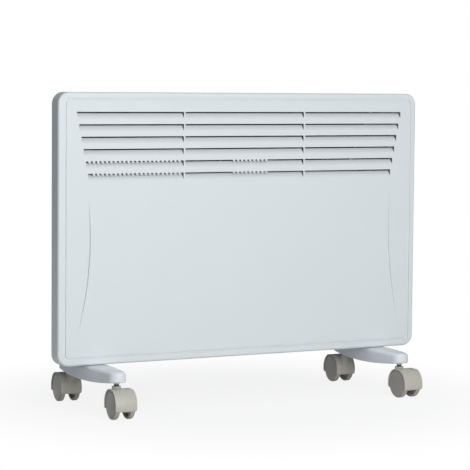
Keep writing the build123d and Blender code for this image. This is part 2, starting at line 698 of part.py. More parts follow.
# ================================================================ controls
with BuildPart() as control_box:
    with BuildSketch(sideways(tub_x)):
        with Locations((pan_mid_y, control_z)):
            RectangleRounded(control_width, CONTROL_HEIGHT, CONTROL_CORNER)
    extrude(amount=CONTROL_DEPTH)
    with BuildSketch(sideways(pan_half)):
        with Locations((pan_mid_y, control_z)):
            RectangleRounded(fascia_width, fascia_height, FASCIA_CORNER)
        with Locations(*fascia_screws_at):
            Circle(SCREW_RADIUS + SEAT_FIT, mode=Mode.SUBTRACT)
    extrude(amount=CONTROL_RIM)
    with BuildSketch(sideways(tub_x + CONTROL_WALL)):
        with Locations((pan_mid_y, control_z)):
            RectangleRounded(
                control_width - 2 * CONTROL_WALL,
                CONTROL_HEIGHT - 2 * CONTROL_WALL,
                CONTROL_CORNER - CONTROL_WALL,
            )
    extrude(amount=CONTROL_DEPTH + CONTROL_RIM, mode=Mode.SUBTRACT)
    with BuildSketch(Plane.XY.offset(control_z - CONTROL_HEIGHT / 2)):
        with Locations((tub_x + WIRE_ENTRY_IN, pan_mid_y)):
            Circle(WIRE_ENTRY_RADIUS)
    extrude(amount=CONTROL_WALL, mode=Mode.SUBTRACT)
control_box.part.label = "control_box"

rockers_z = [control_z - down for down in ROCKER_DOWN]
with BuildPart() as control_fascia:
    with BuildSketch(sideways(fascia_in)):
        with Locations((pan_mid_y, control_z)):
            RectangleRounded(fascia_width, fascia_height, FASCIA_CORNER)
    extrude(amount=FASCIA_SHEET)
    fillet(control_fascia.faces().sort_by(Axis.X)[-1].edges(), FASCIA_ROUND)
    with BuildSketch(sideways(fascia_in)):
        with Locations((pan_mid_y, knob_z)):
            Circle(SPINDLE_BUSH + SEAT_FIT)
        with Locations((pan_mid_y, lamp_z)):
            Circle(LAMP_RADIUS + SEAT_FIT)
        with Locations(*[(pan_mid_y, z) for z in rockers_z]):
            Rectangle(ROCKER_CUT[0] + 2 * SEAT_FIT, ROCKER_CUT[1] + 2 * SEAT_FIT)
        with Locations(*fascia_screws_at):
            Circle(SCREW_RADIUS + SEAT_FIT)
    extrude(amount=FASCIA_SHEET, mode=Mode.SUBTRACT)
control_fascia.part.label = "control_fascia"

with BuildPart() as thermostat_body:
    with BuildSketch(sideways(fascia_in)):
        with Locations((pan_mid_y, knob_z)):
            Rectangle(thermostat_size, thermostat_size)
    extrude(amount=-THERMOSTAT_DEPTH)
    with BuildSketch(sideways(fascia_in)):
        with Locations((pan_mid_y, knob_z)):
            Circle(SPINDLE_BUSH)
    extrude(amount=FASCIA_SHEET)
    with BuildSketch(sideways(fascia_in - SPINDLE_IN - LINE_GAP)):
        with Locations((pan_mid_y, knob_z)):
            Circle(SPINDLE_RADIUS + RUNNING_FIT)
    extrude(amount=SPINDLE_IN + LINE_GAP + FASCIA_SHEET, mode=Mode.SUBTRACT)
thermostat_body.part.label = "thermostat_body"

with BuildPart() as thermostat_spindle:
    with BuildSketch(sideways(fascia_in - SPINDLE_IN)):
        with Locations((pan_mid_y, knob_z)):
            Circle(SPINDLE_RADIUS)
    extrude(amount=knob_x + SPINDLE_IN_KNOB - fascia_in + SPINDLE_IN)
thermostat_spindle.part.label = "thermostat_spindle"

with BuildPart() as thermostat_knob:
    with BuildSketch(sideways(knob_x)):
        with Locations((pan_mid_y, knob_z)):
            Circle(KNOB_RADIUS)
    extrude(amount=KNOB_SKIRT)
    fillet(thermostat_knob.faces().sort_by(Axis.X)[-1].edges(), KNOB_ROUND)
    with BuildSketch(sideways(knob_x + KNOB_SKIRT)):
        with Locations((pan_mid_y, knob_z)):
            Circle(KNOB_GRIP_RADIUS)
    extrude(amount=KNOB_HEIGHT - KNOB_SKIRT)
    fillet(thermostat_knob.faces().sort_by(Axis.X)[-1].edges(), KNOB_ROUND)
    with BuildSketch(sideways(knob_x + KNOB_SKIRT)):
        with Locations((pan_mid_y, knob_z)):
            with PolarLocations(KNOB_GRIP_RADIUS + KNOB_FLUTE_RADIUS / 2, KNOB_FLUTES):
                Circle(KNOB_FLUTE_RADIUS)
    extrude(amount=KNOB_HEIGHT - KNOB_SKIRT, mode=Mode.SUBTRACT)
    with BuildSketch(sideways(knob_x + KNOB_HEIGHT)):
        with Locations((pan_mid_y, knob_z + KNOB_GRIP_RADIUS / 2)):
            Rectangle(KNOB_MARK[0], KNOB_MARK[1])
    extrude(amount=-KNOB_MARK[2], mode=Mode.SUBTRACT)
    with BuildSketch(sideways(knob_x)):
        with Locations((pan_mid_y, knob_z)):
            Circle(SPINDLE_RADIUS + SEAT_FIT)
    extrude(amount=SPINDLE_IN_KNOB + LINE_GAP, mode=Mode.SUBTRACT)
thermostat_knob.part.label = "thermostat_knob"

# A rocker switch's frame and rocker, about the rocker's pivot; the front of the switch is +X.
bezel_x = ROCKER_PIVOT_IN
pivot_reach = ROCKER_WELL[0] / 2 - ROCKER_SIDE_GAP + ROCKER_PIVOT_OUT
with BuildPart() as rocker_frame:
    with BuildSketch(sideways(bezel_x - ROCKER_BEZEL)):
        RectangleRounded(ROCKER_FRAME[0], ROCKER_FRAME[1], ROCKER_FRAME_CORNER)
    extrude(amount=ROCKER_BEZEL)
    with BuildSketch(sideways(bezel_x - ROCKER_BEZEL)):
        Rectangle(ROCKER_CUT[0], ROCKER_CUT[1])
    extrude(amount=-ROCKER_BODY)
    with BuildSketch(sideways(bezel_x)):
        Rectangle(ROCKER_WELL[0], ROCKER_WELL[1])
    extrude(amount=-(ROCKER_BEZEL + ROCKER_BODY - ROCKER_FLOOR), mode=Mode.SUBTRACT)
    with BuildSketch(facing(pivot_reach + LINE_GAP)):
        Circle(ROCKER_PIVOT_RADIUS + RUNNING_FIT)
    extrude(amount=2 * (pivot_reach + LINE_GAP), mode=Mode.SUBTRACT)

rocker_half = ROCKER_WELL[0] / 2 - ROCKER_SIDE_GAP
rocker_radius = ROCKER_WELL[1] / 2 - ROCKER_END_GAP
with BuildPart() as rocker:
    with BuildSketch(facing(rocker_half)):
        Circle(rocker_radius)
        Polygon(
            (-ROCKER_BACK, -rocker_radius),
            (-ROCKER_BACK, rocker_radius),
            (ROCKER_END, rocker_radius),
            (ROCKER_MID, 0),
            (ROCKER_END, -rocker_radius),
            align=None,
            mode=Mode.INTERSECT,
        )
    extrude(amount=2 * rocker_half)
    with BuildSketch(facing(pivot_reach)):
        Circle(ROCKER_PIVOT_RADIUS)
    extrude(amount=2 * pivot_reach)

switches = {}
for name, z in zip(("upper", "lower"), rockers_z):
    pivot = (rocker_x, pan_mid_y, z)
    switches["rocker_frame_" + name] = rocker_frame.part.moved(Location(pivot))
    switches["rocker_" + name] = rocker.part.moved(Location(pivot, (0, -ROCKER_TILT, 0)))

with BuildPart() as indicator_lamp:
    with BuildSketch(sideways(fascia_x)):
        with Locations((pan_mid_y, lamp_z)):
            Circle(LAMP_FLANGE)
    extrude(amount=LAMP_OUT)
    fillet(indicator_lamp.faces().sort_by(Axis.X)[-1].edges(), LAMP_ROUND)
    with BuildSketch(sideways(fascia_x)):
        with Locations((pan_mid_y, lamp_z)):
            Circle(LAMP_RADIUS)
    extrude(amount=-LAMP_IN)
indicator_lamp.part.label = "indicator_lamp"

# ================================================================ mains inlet, terminals, tilt switch
with BuildPart() as cable_gland:
    with BuildSketch(Plane.XY.offset(pan_low - GLAND_FLANGE)):
        with Locations((gland_x, pan_mid_y)):
            Circle(GLAND_FLANGE_RADIUS)
    extrude(amount=GLAND_FLANGE)
    fillet(cable_gland.faces().sort_by(Axis.Z)[0].edges(), GLAND_ROUND)
    with BuildSketch(Plane.XY.offset(pan_low)):
        with Locations((gland_x, pan_mid_y)):
            Circle(GLAND_RADIUS)
    extrude(amount=GLAND_TOP)
    with BuildSketch(Plane.XY.offset(pan_low - GLAND_FLANGE)):
        with Locations((gland_x, pan_mid_y)):
            Circle(GLAND_BORE)
    extrude(amount=GLAND_FLANGE + GLAND_TOP, mode=Mode.SUBTRACT)
cable_gland.part.label = "cable_gland"

with BuildPart() as gland_nut:
    with BuildSketch(Plane.XY.offset(floor_z)):
        with Locations((gland_x, pan_mid_y)):
            RegularPolygon(GLAND_NUT_HALF, 6, major_radius=False)
            Circle(GLAND_RADIUS + SEAT_FIT, mode=Mode.SUBTRACT)
    extrude(amount=GLAND_NUT_HEIGHT)
gland_nut.part.label = "gland_nut"

terminal_top = floor_z + TERMINAL_SIZE[2]
with BuildPart() as terminal_block:
    with BuildSketch(Plane.XY.offset(floor_z)):
        with Locations((terminal_x, pan_mid_y)):
            Rectangle(TERMINAL_SIZE[0], TERMINAL_SIZE[1])
    extrude(amount=TERMINAL_SIZE[2])
    with BuildSketch(Plane.XY.offset(terminal_top)):
        with Locations((terminal_x, pan_mid_y)):
            with GridLocations(TERMINAL_PITCH, 1, TERMINAL_WAYS, 1):
                Circle(TERMINAL_HOLE_RADIUS)
    extrude(amount=-TERMINAL_HOLE_DEPTH, mode=Mode.SUBTRACT)
    with BuildSketch(Plane.XY.offset(floor_z)):
        with Locations(*terminal_screws_at):
            Circle(SCREW_RADIUS + SEAT_FIT)
    extrude(amount=SCREW_LENGTH - SHEET + LINE_GAP, mode=Mode.SUBTRACT)
terminal_block.part.label = "terminal_block"

tilt_pivot_z = floor_z + TILT_SIZE[2] - TILT_PIVOT_DOWN
tilt_inner = TILT_SIZE[0] / 2 - TILT_WALL
tilt_pin_reach = tilt_inner + TILT_PIN_OUT
with BuildPart() as tilt_switch_case:
    with BuildSketch(Plane.XY.offset(floor_z)):
        with Locations((tilt_x, pan_mid_y)):
            Rectangle(TILT_SIZE[0], TILT_SIZE[1])
    extrude(amount=TILT_SIZE[2])
    with BuildSketch(Plane.XY.offset(floor_z + TILT_WALL)):
        with Locations((tilt_x, pan_mid_y)):
            Rectangle(TILT_SIZE[0] - 2 * TILT_WALL, TILT_SIZE[1] - 2 * TILT_WALL)
    extrude(amount=TILT_SIZE[2], mode=Mode.SUBTRACT)
    with BuildSketch(sideways(tilt_x - tilt_pin_reach - LINE_GAP)):
        with Locations((pan_mid_y, tilt_pivot_z)):
            Circle(TILT_PIN_RADIUS + RUNNING_FIT)
    extrude(amount=2 * (tilt_pin_reach + LINE_GAP), mode=Mode.SUBTRACT)
    with BuildSketch(Plane.XY.offset(floor_z)):
        with Locations(*tilt_screws_at):
            Circle(SCREW_RADIUS + SEAT_FIT)
    extrude(amount=TILT_WALL, mode=Mode.SUBTRACT)
tilt_switch_case.part.label = "tilt_switch_case"

with BuildPart() as tilt_pendulum:
    with BuildSketch(sideways(tilt_x - tilt_pin_reach)):
        with Locations((pan_mid_y, tilt_pivot_z)):
            Circle(TILT_PIN_RADIUS)
    extrude(amount=2 * tilt_pin_reach)
    with BuildSketch(sideways(tilt_x - tilt_inner + TILT_SIDE_GAP)):
        with Locations((pan_mid_y, tilt_pivot_z)):
            Circle(TILT_BOSS_RADIUS)
    extrude(amount=2 * (tilt_inner - TILT_SIDE_GAP))
    with BuildSketch(sideways(tilt_x - TILT_ARM_WIDTH / 2)):
        with Locations((pan_mid_y, tilt_pivot_z)):
            Rectangle(TILT_ARM_WIDTH, TILT_ARM, align=(Align.CENTER, Align.MAX))
    extrude(amount=TILT_ARM_WIDTH)
    with BuildSketch(sideways(tilt_x - TILT_WEIGHT_LENGTH / 2)):
        with Locations((pan_mid_y, tilt_pivot_z - TILT_ARM)):
            Circle(TILT_WEIGHT_RADIUS)
    extrude(amount=TILT_WEIGHT_LENGTH)
tilt_pendulum.part.label = "tilt_pendulum"


def wire(points):
    """A wire along the points: straight runs joined by arcs as large as the runs allow."""
    corners = [Vector(*point) for point in points]
    radii = []
    for before, corner, after in zip(corners, corners[1:], corners[2:]):
        shorter = min((corner - before).length, (after - corner).length)
        half_turn = radians((corner - before).get_angle(after - corner) / 2)
        radii.append(min(WIRE_BEND, WIRE_SHARE * shorter * cos(half_turn) / sin(half_turn)))
    with BuildPart() as run:
        with BuildLine() as path:
            FilletPolyline(*points, radius=radii)
        with BuildSketch(Plane(origin=path.line @ 0, z_dir=path.line % 0)):
            Circle(WIRE_RADIUS)
        sweep()
    return run.part


terminal_in = terminal_top - TERMINAL_HOLE_DEPTH
terminal_left = terminal_x - TERMINAL_PITCH
terminal_right = terminal_x + TERMINAL_PITCH
entry_x = tub_x + WIRE_ENTRY_IN
entry_front = pan_mid_y - WIRE_PITCH / 2
entry_rear = pan_mid_y + WIRE_PITCH / 2
switch_back = fascia_x - ROCKER_BODY
pin_end = element_half + INSULATOR_LENGTH + PIN_OUT
pin_turn = pin_end + WIRE_TURN
tab_z = panel_low + CUTOUT_UP
tab_end = cutout_face - TAB_LENGTH
loom_low = terminal_top + WIRE_TURN
loom_high = tilt_pivot_z + TILT_PIVOT_DOWN + WIRE_TURN
loom_top = control_z - CONTROL_HEIGHT / 2 - 2 * WIRE_TURN
loom_front = element_y - 2 * WIRE_TURN
case_side = tilt_x - TILT_SIZE[0] / 2
mains_live = wire(
    [
        (terminal_x, pan_mid_y, terminal_in),
        (terminal_x, pan_mid_y, loom_high),
        (entry_x, entry_rear, loom_high),
        (entry_x, entry_rear, rockers_z[-1]),
        (switch_back, entry_rear, rockers_z[-1]),
    ]
)
thermostat_out = wire(
    [
        (entry_x, entry_front, knob_z - thermostat_size / 2),
        (entry_x, entry_front, loom_top),
        (entry_x, loom_front, loom_top),
        (tabs_at[0][0], loom_front, loom_top),
        (tabs_at[0][0], loom_front, tab_z),
        (tabs_at[0][0], tab_end, tab_z),
    ]
)
cutout_out = wire(
    [
        (tabs_at[1][0], tab_end, tab_z),
        (tabs_at[1][0], tab_end - 2 * WIRE_TURN, tab_z),
        (tabs_at[1][0], tab_end - 2 * WIRE_TURN, tab_z - 4 * WIRE_TURN),
        (pin_turn, tab_end - 2 * WIRE_TURN, tab_z - 4 * WIRE_TURN),
        (pin_turn, element_y, tab_z - 4 * WIRE_TURN),
        (pin_turn, element_y, element_z),
        (pin_end, element_y, element_z),
    ]
)
element_return = wire(
    [
        (-pin_end, element_y, element_z),
        (-pin_turn, element_y, element_z),
        (-pin_turn, element_y, loom_low),
        (-pin_turn, loom_front, loom_low),
        (terminal_left, loom_front, loom_low),
        (terminal_left, pan_mid_y, loom_low),
        (terminal_left, pan_mid_y, terminal_in),
    ]
)
tilt_feed = wire(
    [
        (terminal_right, pan_mid_y, terminal_in),
        (terminal_right, pan_mid_y, loom_low),
        (case_side, pan_mid_y, loom_low),
    ]
)
with BuildPart() as internal_wiring:
    add([mains_live, thermostat_out, cutout_out, element_return, tilt_feed])
internal_wiring.part.label = "internal_wiring"

# ================================================================ feet
# The sides are arcs and the ends are arcs tangent to them, so their joint is at the root of
# along^2 + along * (FOOT_HALF - foot_half_length) = waist * (FOOT_END_HALF + foot_half_length).
waist = FOOT_HALF - FOOT_END_HALF
foot_run = foot_half_length - FOOT_HALF
foot_end = (foot_run + sqrt(foot_run**2 + 4 * waist * (FOOT_END_HALF + foot_half_length))) / 2
profile_half = foot_half_length + FOOT_ROUND
pad_front = flange_y + SHEET + PAD_MARGIN
pad_rear = back_y - PAN_EDGE - PAD_MARGIN
stem_top = under_stem + FOOT_SOCKET
with BuildPart() as foot_side_view:
    with BuildSketch(Plane(origin=(-FOOT_HALF, foot_mid_y, 0), x_dir=(0, 1, 0), z_dir=(1, 0, 0))):
        with BuildLine():
            low_end = foot_low + arch_rise(FOOT_ARCH, profile_half)
            top_end = foot_top - arch_rise(FOOT_CROWN, profile_half)
            ThreePointArc((-profile_half, low_end), (0, foot_low), (profile_half, low_end))
            Line((profile_half, low_end), (profile_half, top_end))
            ThreePointArc((profile_half, top_end), (0, foot_top), (-profile_half, top_end))
            Line((-profile_half, top_end), (-profile_half, low_end))
        make_face()
    extrude(amount=2 * FOOT_HALF)

with BuildPart() as foot:
    with BuildSketch(Plane(origin=(0, foot_mid_y, foot_low))):
        with BuildLine():
            right = ThreePointArc((FOOT_END_HALF, -foot_end), (FOOT_HALF, 0), (FOOT_END_HALF, foot_end))
            TangentArc(right @ 1, (-FOOT_END_HALF, foot_end), tangent=right % 1)
            left = ThreePointArc((-FOOT_END_HALF, foot_end), (-FOOT_HALF, 0), (-FOOT_END_HALF, -foot_end))
            TangentArc(left @ 1, right @ 0, tangent=left % 1)
        make_face()
    extrude(amount=FOOT_DEPTH)
    add(foot_side_view.part, mode=Mode.INTERSECT)
    fillet(foot.faces().sort_by(Axis.Z)[-1].edges(), FOOT_ROUND)
    fillet(foot.faces().sort_by(Axis.Z)[0].edges(), FOOT_ROUND_UNDER)
    with BuildSketch(Plane.XY.offset(pan_low)):
        with Locations((0, (pad_front + pad_rear) / 2)):
            RectangleRounded(2 * PAD_HALF, pad_rear - pad_front, PAD_CORNER)
    extrude(amount=-(pan_low - foot_top + FOOT_ROUND))
    with Locations(*[(0, FACE + stem_y, collar_low) for stem_y in (STEM_FRONT, STEM_REAR)]):
        Cone(
            FOOT_COLLAR_RADIUS - FOOT_COLLAR_TAPER,
            FOOT_COLLAR_RADIUS,
            FOOT_COLLAR + FOOT_ROUND_UNDER,
            align=(Align.CENTER, Align.CENTER, Align.MIN),
        )
    with BuildSketch(Plane.XY.offset(collar_low)):
        with Locations(*[(0, FACE + stem_y) for stem_y in (STEM_FRONT, STEM_REAR)]):
            Circle(STEM_RADIUS + SEAT_FIT)
    extrude(amount=stem_top + LINE_GAP - collar_low, mode=Mode.SUBTRACT)
    with BuildSketch(Plane.XY.offset(pan_low)):
        with Locations(*[(0, y) for y in foot_bolts_y]):
            Circle(FOOT_BOLT_RADIUS + SEAT_FIT)
    extrude(amount=foot_low - pan_low, mode=Mode.SUBTRACT)
    with BuildSketch(Plane.XY.offset(pan_low - FOOT_BOLT_WEB)):
        with Locations(*[(0, y) for y in foot_bolts_y]):
            Circle(BOLT_HEAD_RADIUS + BOLT_HEAD_GAP)
    extrude(amount=foot_low - pan_low, mode=Mode.SUBTRACT)

feet = {}
for name, side in (("foot_left", -1), ("foot_right", 1)):
    feet[name] = foot.part.moved(Location((side * castor_x, 0, 0)))

# ================================================================ castors, about the stem's axis
AXLE = Plane(origin=(0, -CASTOR_TRAIL, WHEEL_RADIUS), x_dir=(0, 1, 0), z_dir=(1, 0, 0))
axle_half = WHEEL_SPREAD - AXLE_SHORT
stem_low = boss_top - STEM_SEAT
with BuildPart() as castor_hood:
    with BuildSketch(AXLE.offset(-hood_half)):
        Circle(hood_outer)
        Circle(hood_inner, mode=Mode.SUBTRACT)
    extrude(amount=2 * hood_half)
    with BuildSketch(AXLE.offset(-HOOD_WEB)):
        Circle(hood_inner + HOOD_WALL / 2)
    extrude(amount=2 * HOOD_WEB)
    with BuildSketch(Plane.XY.offset(WHEEL_RADIUS)):
        Circle(BOSS_RADIUS)
    extrude(amount=boss_top - WHEEL_RADIUS)
    with BuildSketch(facing(hood_outer)) as hood_front_view:
        with Locations((0, HOOD_OPEN)):
            Rectangle(2 * hood_half, boss_top - HOOD_OPEN, align=(Align.CENTER, Align.MIN))
        fillet(hood_front_view.vertices().sort_by(Axis.Y)[:2], HOOD_CORNER)
    extrude(amount=2 * (hood_outer + CASTOR_TRAIL), mode=Mode.INTERSECT)
    with BuildSketch(AXLE.offset(-HOOD_WEB)):
        Circle(AXLE_RADIUS + SEAT_FIT)
    extrude(amount=2 * HOOD_WEB, mode=Mode.SUBTRACT)
    with BuildSketch(Plane.XY.offset(boss_top)):
        Circle(STEM_RADIUS + RUNNING_FIT)
    extrude(amount=stem_low - LINE_GAP - boss_top, mode=Mode.SUBTRACT)

with BuildPart() as castor_axle:
    with BuildSketch(AXLE.offset(-axle_half)):
        Circle(AXLE_RADIUS)
    extrude(amount=2 * axle_half)

with BuildPart() as castor_stem:
    with BuildSketch(Plane.XY.offset(stem_low)):
        Circle(STEM_RADIUS)
    extrude(amount=stem_top - stem_low)

wheel_inner = WHEEL_SPREAD - WHEEL_WIDTH
wheel_rim = WHEEL_SPREAD - WHEEL_DOME
wheel_bore = AXLE_RADIUS + RUNNING_FIT
wheel_hollow = WHEEL_RADIUS - WHEEL_RIM
dome_radius = (WHEEL_FACE_RADIUS**2 + WHEEL_DOME**2) / (2 * WHEEL_DOME)
dome_mid = WHEEL_FACE_RADIUS / 2
dome_mid_x = WHEEL_SPREAD - dome_radius + sqrt(dome_radius**2 - dome_mid**2)
with BuildPart() as wheel:
    with BuildSketch(Plane(origin=AXLE.origin, x_dir=(1, 0, 0), z_dir=(0, -1, 0))) as wheel_section:
        with BuildLine():
            Polyline(
                (WHEEL_SPREAD, 0),
                (axle_half + LINE_GAP, 0),
                (axle_half + LINE_GAP, wheel_bore),
                (wheel_inner, wheel_bore),
                (wheel_inner, WHEEL_HUB_RADIUS),
                (wheel_inner + WHEEL_DISH, WHEEL_HUB_RADIUS),
                (wheel_inner + WHEEL_DISH, wheel_hollow),
                (wheel_inner, wheel_hollow),
                (wheel_inner, WHEEL_RADIUS),
                (wheel_rim, WHEEL_RADIUS),
                (wheel_rim, WHEEL_FACE_RADIUS),
            )
            ThreePointArc((wheel_rim, WHEEL_FACE_RADIUS), (dome_mid_x, dome_mid), (WHEEL_SPREAD, 0))
        make_face()
        fillet(wheel_section.vertices().group_by(Axis.Y)[-1], WHEEL_EDGE)
    revolve(axis=Axis(AXLE.origin, (1, 0, 0)))

wheel_mirrored = mirror(wheel.part, about=Plane.YZ)
castors = {}
for name, (x, y, turn) in CASTORS.items():
    place = Location((x, FACE + y, 0), (0, 0, turn))
    outward = x * cos(radians(turn)) > 0  # the castor's own +X points away from the heater's middle
    away, near = (wheel.part, wheel_mirrored) if outward else (wheel_mirrored, wheel.part)
    castors["castor_stem_" + name] = castor_stem.part.moved(place)
    castors["castor_hood_" + name] = castor_hood.part.moved(place)
    castors["castor_axle_" + name] = castor_axle.part.moved(place)
    castors["wheel_" + name + "_outboard"] = away.moved(place)
    castors["wheel_" + name + "_inboard"] = near.moved(place)

# ================================================================ fasteners
with BuildPart() as pan_screw:
    with BuildSketch(Plane.XY):
        Circle(SCREW_HEAD_RADIUS)
    extrude(amount=SCREW_HEAD_HEIGHT)
    fillet(pan_screw.faces().sort_by(Axis.Z)[-1].edges(), SCREW_HEAD_HEIGHT / 2)
    with BuildSketch(Plane.XY):
        Circle(SCREW_RADIUS)
    extrude(amount=-SCREW_LENGTH)
    with BuildSketch(Plane.XY.offset(SCREW_HEAD_HEIGHT)):
        Rectangle(2 * SCREW_DRIVE_RADIUS, SCREW_DRIVE_RADIUS / 2)
        Rectangle(SCREW_DRIVE_RADIUS / 2, 2 * SCREW_DRIVE_RADIUS)
    extrude(amount=-SCREW_DRIVE_DEPTH, mode=Mode.SUBTRACT)

bolt_seat = pan_low - FOOT_BOLT_WEB
with BuildPart() as foot_bolt:
    with BuildSketch(Plane.XY.offset(bolt_seat)):
        Circle(BOLT_HEAD_RADIUS)
    extrude(amount=-BOLT_HEAD_HEIGHT)
    with BuildSketch(Plane.XY.offset(bolt_seat)):
        Circle(FOOT_BOLT_RADIUS)
    extrude(amount=FOOT_BOLT_WEB + SHEET + NUT_HEIGHT + THREAD_OUT)
    with BuildSketch(Plane.XY.offset(bolt_seat - BOLT_HEAD_HEIGHT)):
        RegularPolygon(BOLT_DRIVE_RADIUS, 6)
    extrude(amount=BOLT_DRIVE_DEPTH, mode=Mode.SUBTRACT)

with BuildPart() as foot_nut:
    with BuildSketch(Plane.XY.offset(floor_z)):
        RegularPolygon(NUT_HALF, 6, major_radius=False)
        Circle(FOOT_BOLT_RADIUS + SEAT_FIT, mode=Mode.SUBTRACT)
    extrude(amount=NUT_HEIGHT)


def screws(points, way):
    """Copies of the pan-head screw at the points, with their heads towards way."""
    return [pan_screw.part.solid().moved(Plane(origin=point, z_dir=way).location) for point in points]


heads_y = flange_y + SHEET
fasteners = {
    "panel_screws": screws([(x, heads_y, z) for x, z in panel_screws_at], (0, 1, 0)),
    "back_screws": screws([(x, back_y, z) for x, z in back_screws_at], (0, 1, 0)),
    "floor_screws": screws([(x, y, pan_low) for x, y in floor_screws_at], (0, 0, -1)),
    "fascia_screws": screws([(fascia_x, y, z) for y, z in fascia_screws_at], (1, 0, 0)),
    "foot_screws": [foot_bolt.part.solid().moved(Location((x, y, 0))) for x, y in foot_bolts_at],
    "foot_nuts": [foot_nut.part.solid().moved(Location((x, y, 0))) for x, y in foot_bolts_at],
}

# ================================================================ files
singles = [
    front_panel,
    rear_housing,
    heating_element,
    heat_shield,
    air_deflector,
    thermal_cutout,
    control_box,
    control_fascia,
    thermostat_body,
    thermostat_spindle,
    thermostat_knob,
    indicator_lamp,
    cable_gland,
    gland_nut,
    terminal_block,
    tilt_switch_case,
    tilt_pendulum,
    internal_wiring,
]
os.makedirs("parts", exist_ok=True)
for single in singles:
    export_step(single.part, f"parts/{single.part.label}.step")
for family in (element_ends, switches, feet, castors):
    for name, piece in family.items():
        piece.label = name
        export_step(piece, f"parts/{name}.step")
for name, solids in fasteners.items():
    export_step(Compound(solids, label=name), f"parts/{name}.step")
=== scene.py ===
"""The looks of a free-standing panel convector heater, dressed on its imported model.

Metres, in the model's own frame: X along the heater, -Y the front, Z up from the floor.
"""
import json
from math import radians

import bmesh
import bpy
import numpy as np
from mathutils import Matrix, Vector


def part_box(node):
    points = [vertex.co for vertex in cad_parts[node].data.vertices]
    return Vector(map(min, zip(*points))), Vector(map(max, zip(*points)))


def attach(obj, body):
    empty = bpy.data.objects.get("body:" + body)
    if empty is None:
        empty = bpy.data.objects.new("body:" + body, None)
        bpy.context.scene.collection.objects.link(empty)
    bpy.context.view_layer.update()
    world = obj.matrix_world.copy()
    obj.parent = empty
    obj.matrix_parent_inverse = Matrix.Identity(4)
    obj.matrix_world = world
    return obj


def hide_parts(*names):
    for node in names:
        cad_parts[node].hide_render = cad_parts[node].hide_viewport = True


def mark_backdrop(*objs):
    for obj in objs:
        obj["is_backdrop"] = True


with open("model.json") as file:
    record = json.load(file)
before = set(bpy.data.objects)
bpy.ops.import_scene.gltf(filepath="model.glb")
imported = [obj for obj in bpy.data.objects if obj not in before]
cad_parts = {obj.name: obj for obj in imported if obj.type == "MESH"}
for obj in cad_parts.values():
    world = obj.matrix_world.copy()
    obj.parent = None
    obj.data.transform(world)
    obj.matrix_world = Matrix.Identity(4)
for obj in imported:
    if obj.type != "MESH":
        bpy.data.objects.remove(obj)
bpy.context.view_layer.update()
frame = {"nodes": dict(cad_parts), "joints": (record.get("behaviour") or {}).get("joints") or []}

bl_info = {
    "name": "Panel convector heater",
    "version": (1, 0, 0),
    "blender": (4, 5, 0),
    "location": "View3D > Sidebar > Heater",
    "description": "Dresses the packed heater with its finishes, castors, dial and studio",
    "category": "Object",
}

JOINTS = {joint["name"]: joint for joint in frame["joints"]}
CASTORS = ("front_left", "front_right", "rear_left", "rear_right")
UPRIGHT = [(1, 0, 0), (0, 1, 0), (0, 0, 1)]
QUARTER = np.pi / 2
# Points of a piece closer than a seam are one point, and edges shorter than a sliver go, in metres.
SEAM = 2e-6
FLOOR_SEAM = 1e-5
SLIVER = 1e-6
# Points on the arc of a small rounded edge.
ARC_POINTS = 5
# A profile's corner is kept this far, in radians, from straight and from folded flat.
LEAST_BEND = 0.01
# A font's size over the height of its digits.
FONT_SIZE = 1.4


# ---------------------------------------------------------------- colours and settings
def linear(code):
    """An sRGB hex colour, such as "#dde3e3", as linear red, green, blue and alpha."""
    shown = np.array([int(code[at : at + 2], 16) for at in (1, 3, 5)]) / 255
    light = np.where(shown <= 0.04045, shown / 12.92, ((shown + 0.055) / 1.055) ** 2.4)
    return (*light.tolist(), 1.0)


def colour(name, code, description):
    """A colour setting whose default is that hex colour."""
    return bpy.props.FloatVectorProperty(
        name=name, description=description, subtype="COLOR", size=4, min=0, max=1, default=linear(code)
    )


def point(name, at, description):
    """A point setting, in metres."""
    return bpy.props.FloatVectorProperty(
        name=name, description=description, default=at, subtype="TRANSLATION", unit="LENGTH"
    )


def wattage(name, watts, description):
    """A lamp's power setting."""
    return bpy.props.FloatProperty(
        name=name, description=description, default=watts, min=0, unit="POWER"
    )


def length(name, millimetres, description):
    """A length setting, given in millimetres and kept in metres."""
    return bpy.props.FloatProperty(
        name=name, description=description, default=millimetres / 1000, min=0, unit="LENGTH", precision=5
    )


class HeaterFinishes(bpy.types.PropertyGroup):
    """The colours of the heater's finishes."""

    coat: colour("Powder coat", "#dce2e3", "Both steel shells")
    foot: colour("Foot plastic", "#e1e5ea", "Moulded feet")
    hood: colour("Hood plastic", "#bebbaf", "Castor hoods")
    # The wheel faces' grey is darker than the tread's: painted shade on the faces.
    wheel: colour("Wheel plastic", "#9b9691", "Faces of the castor wheels")
    tread: colour("Tread plastic", "#b1ad9f", "Treads of the castor wheels")
    stem: colour("Dark zinc", "#4b555e", "Castor stems")
    fascia: colour("Fascia plastic", "#c3c7c9", "Plate round the controls")
    knob: colour("Knob plastic", "#d2d5d6", "Thermostat knob")
    lens: colour("Lamp lens", "#d9531e", "Amber lens of the lamp")
    print: colour("Print", "#33383d", "Numbers and lines of the dial")


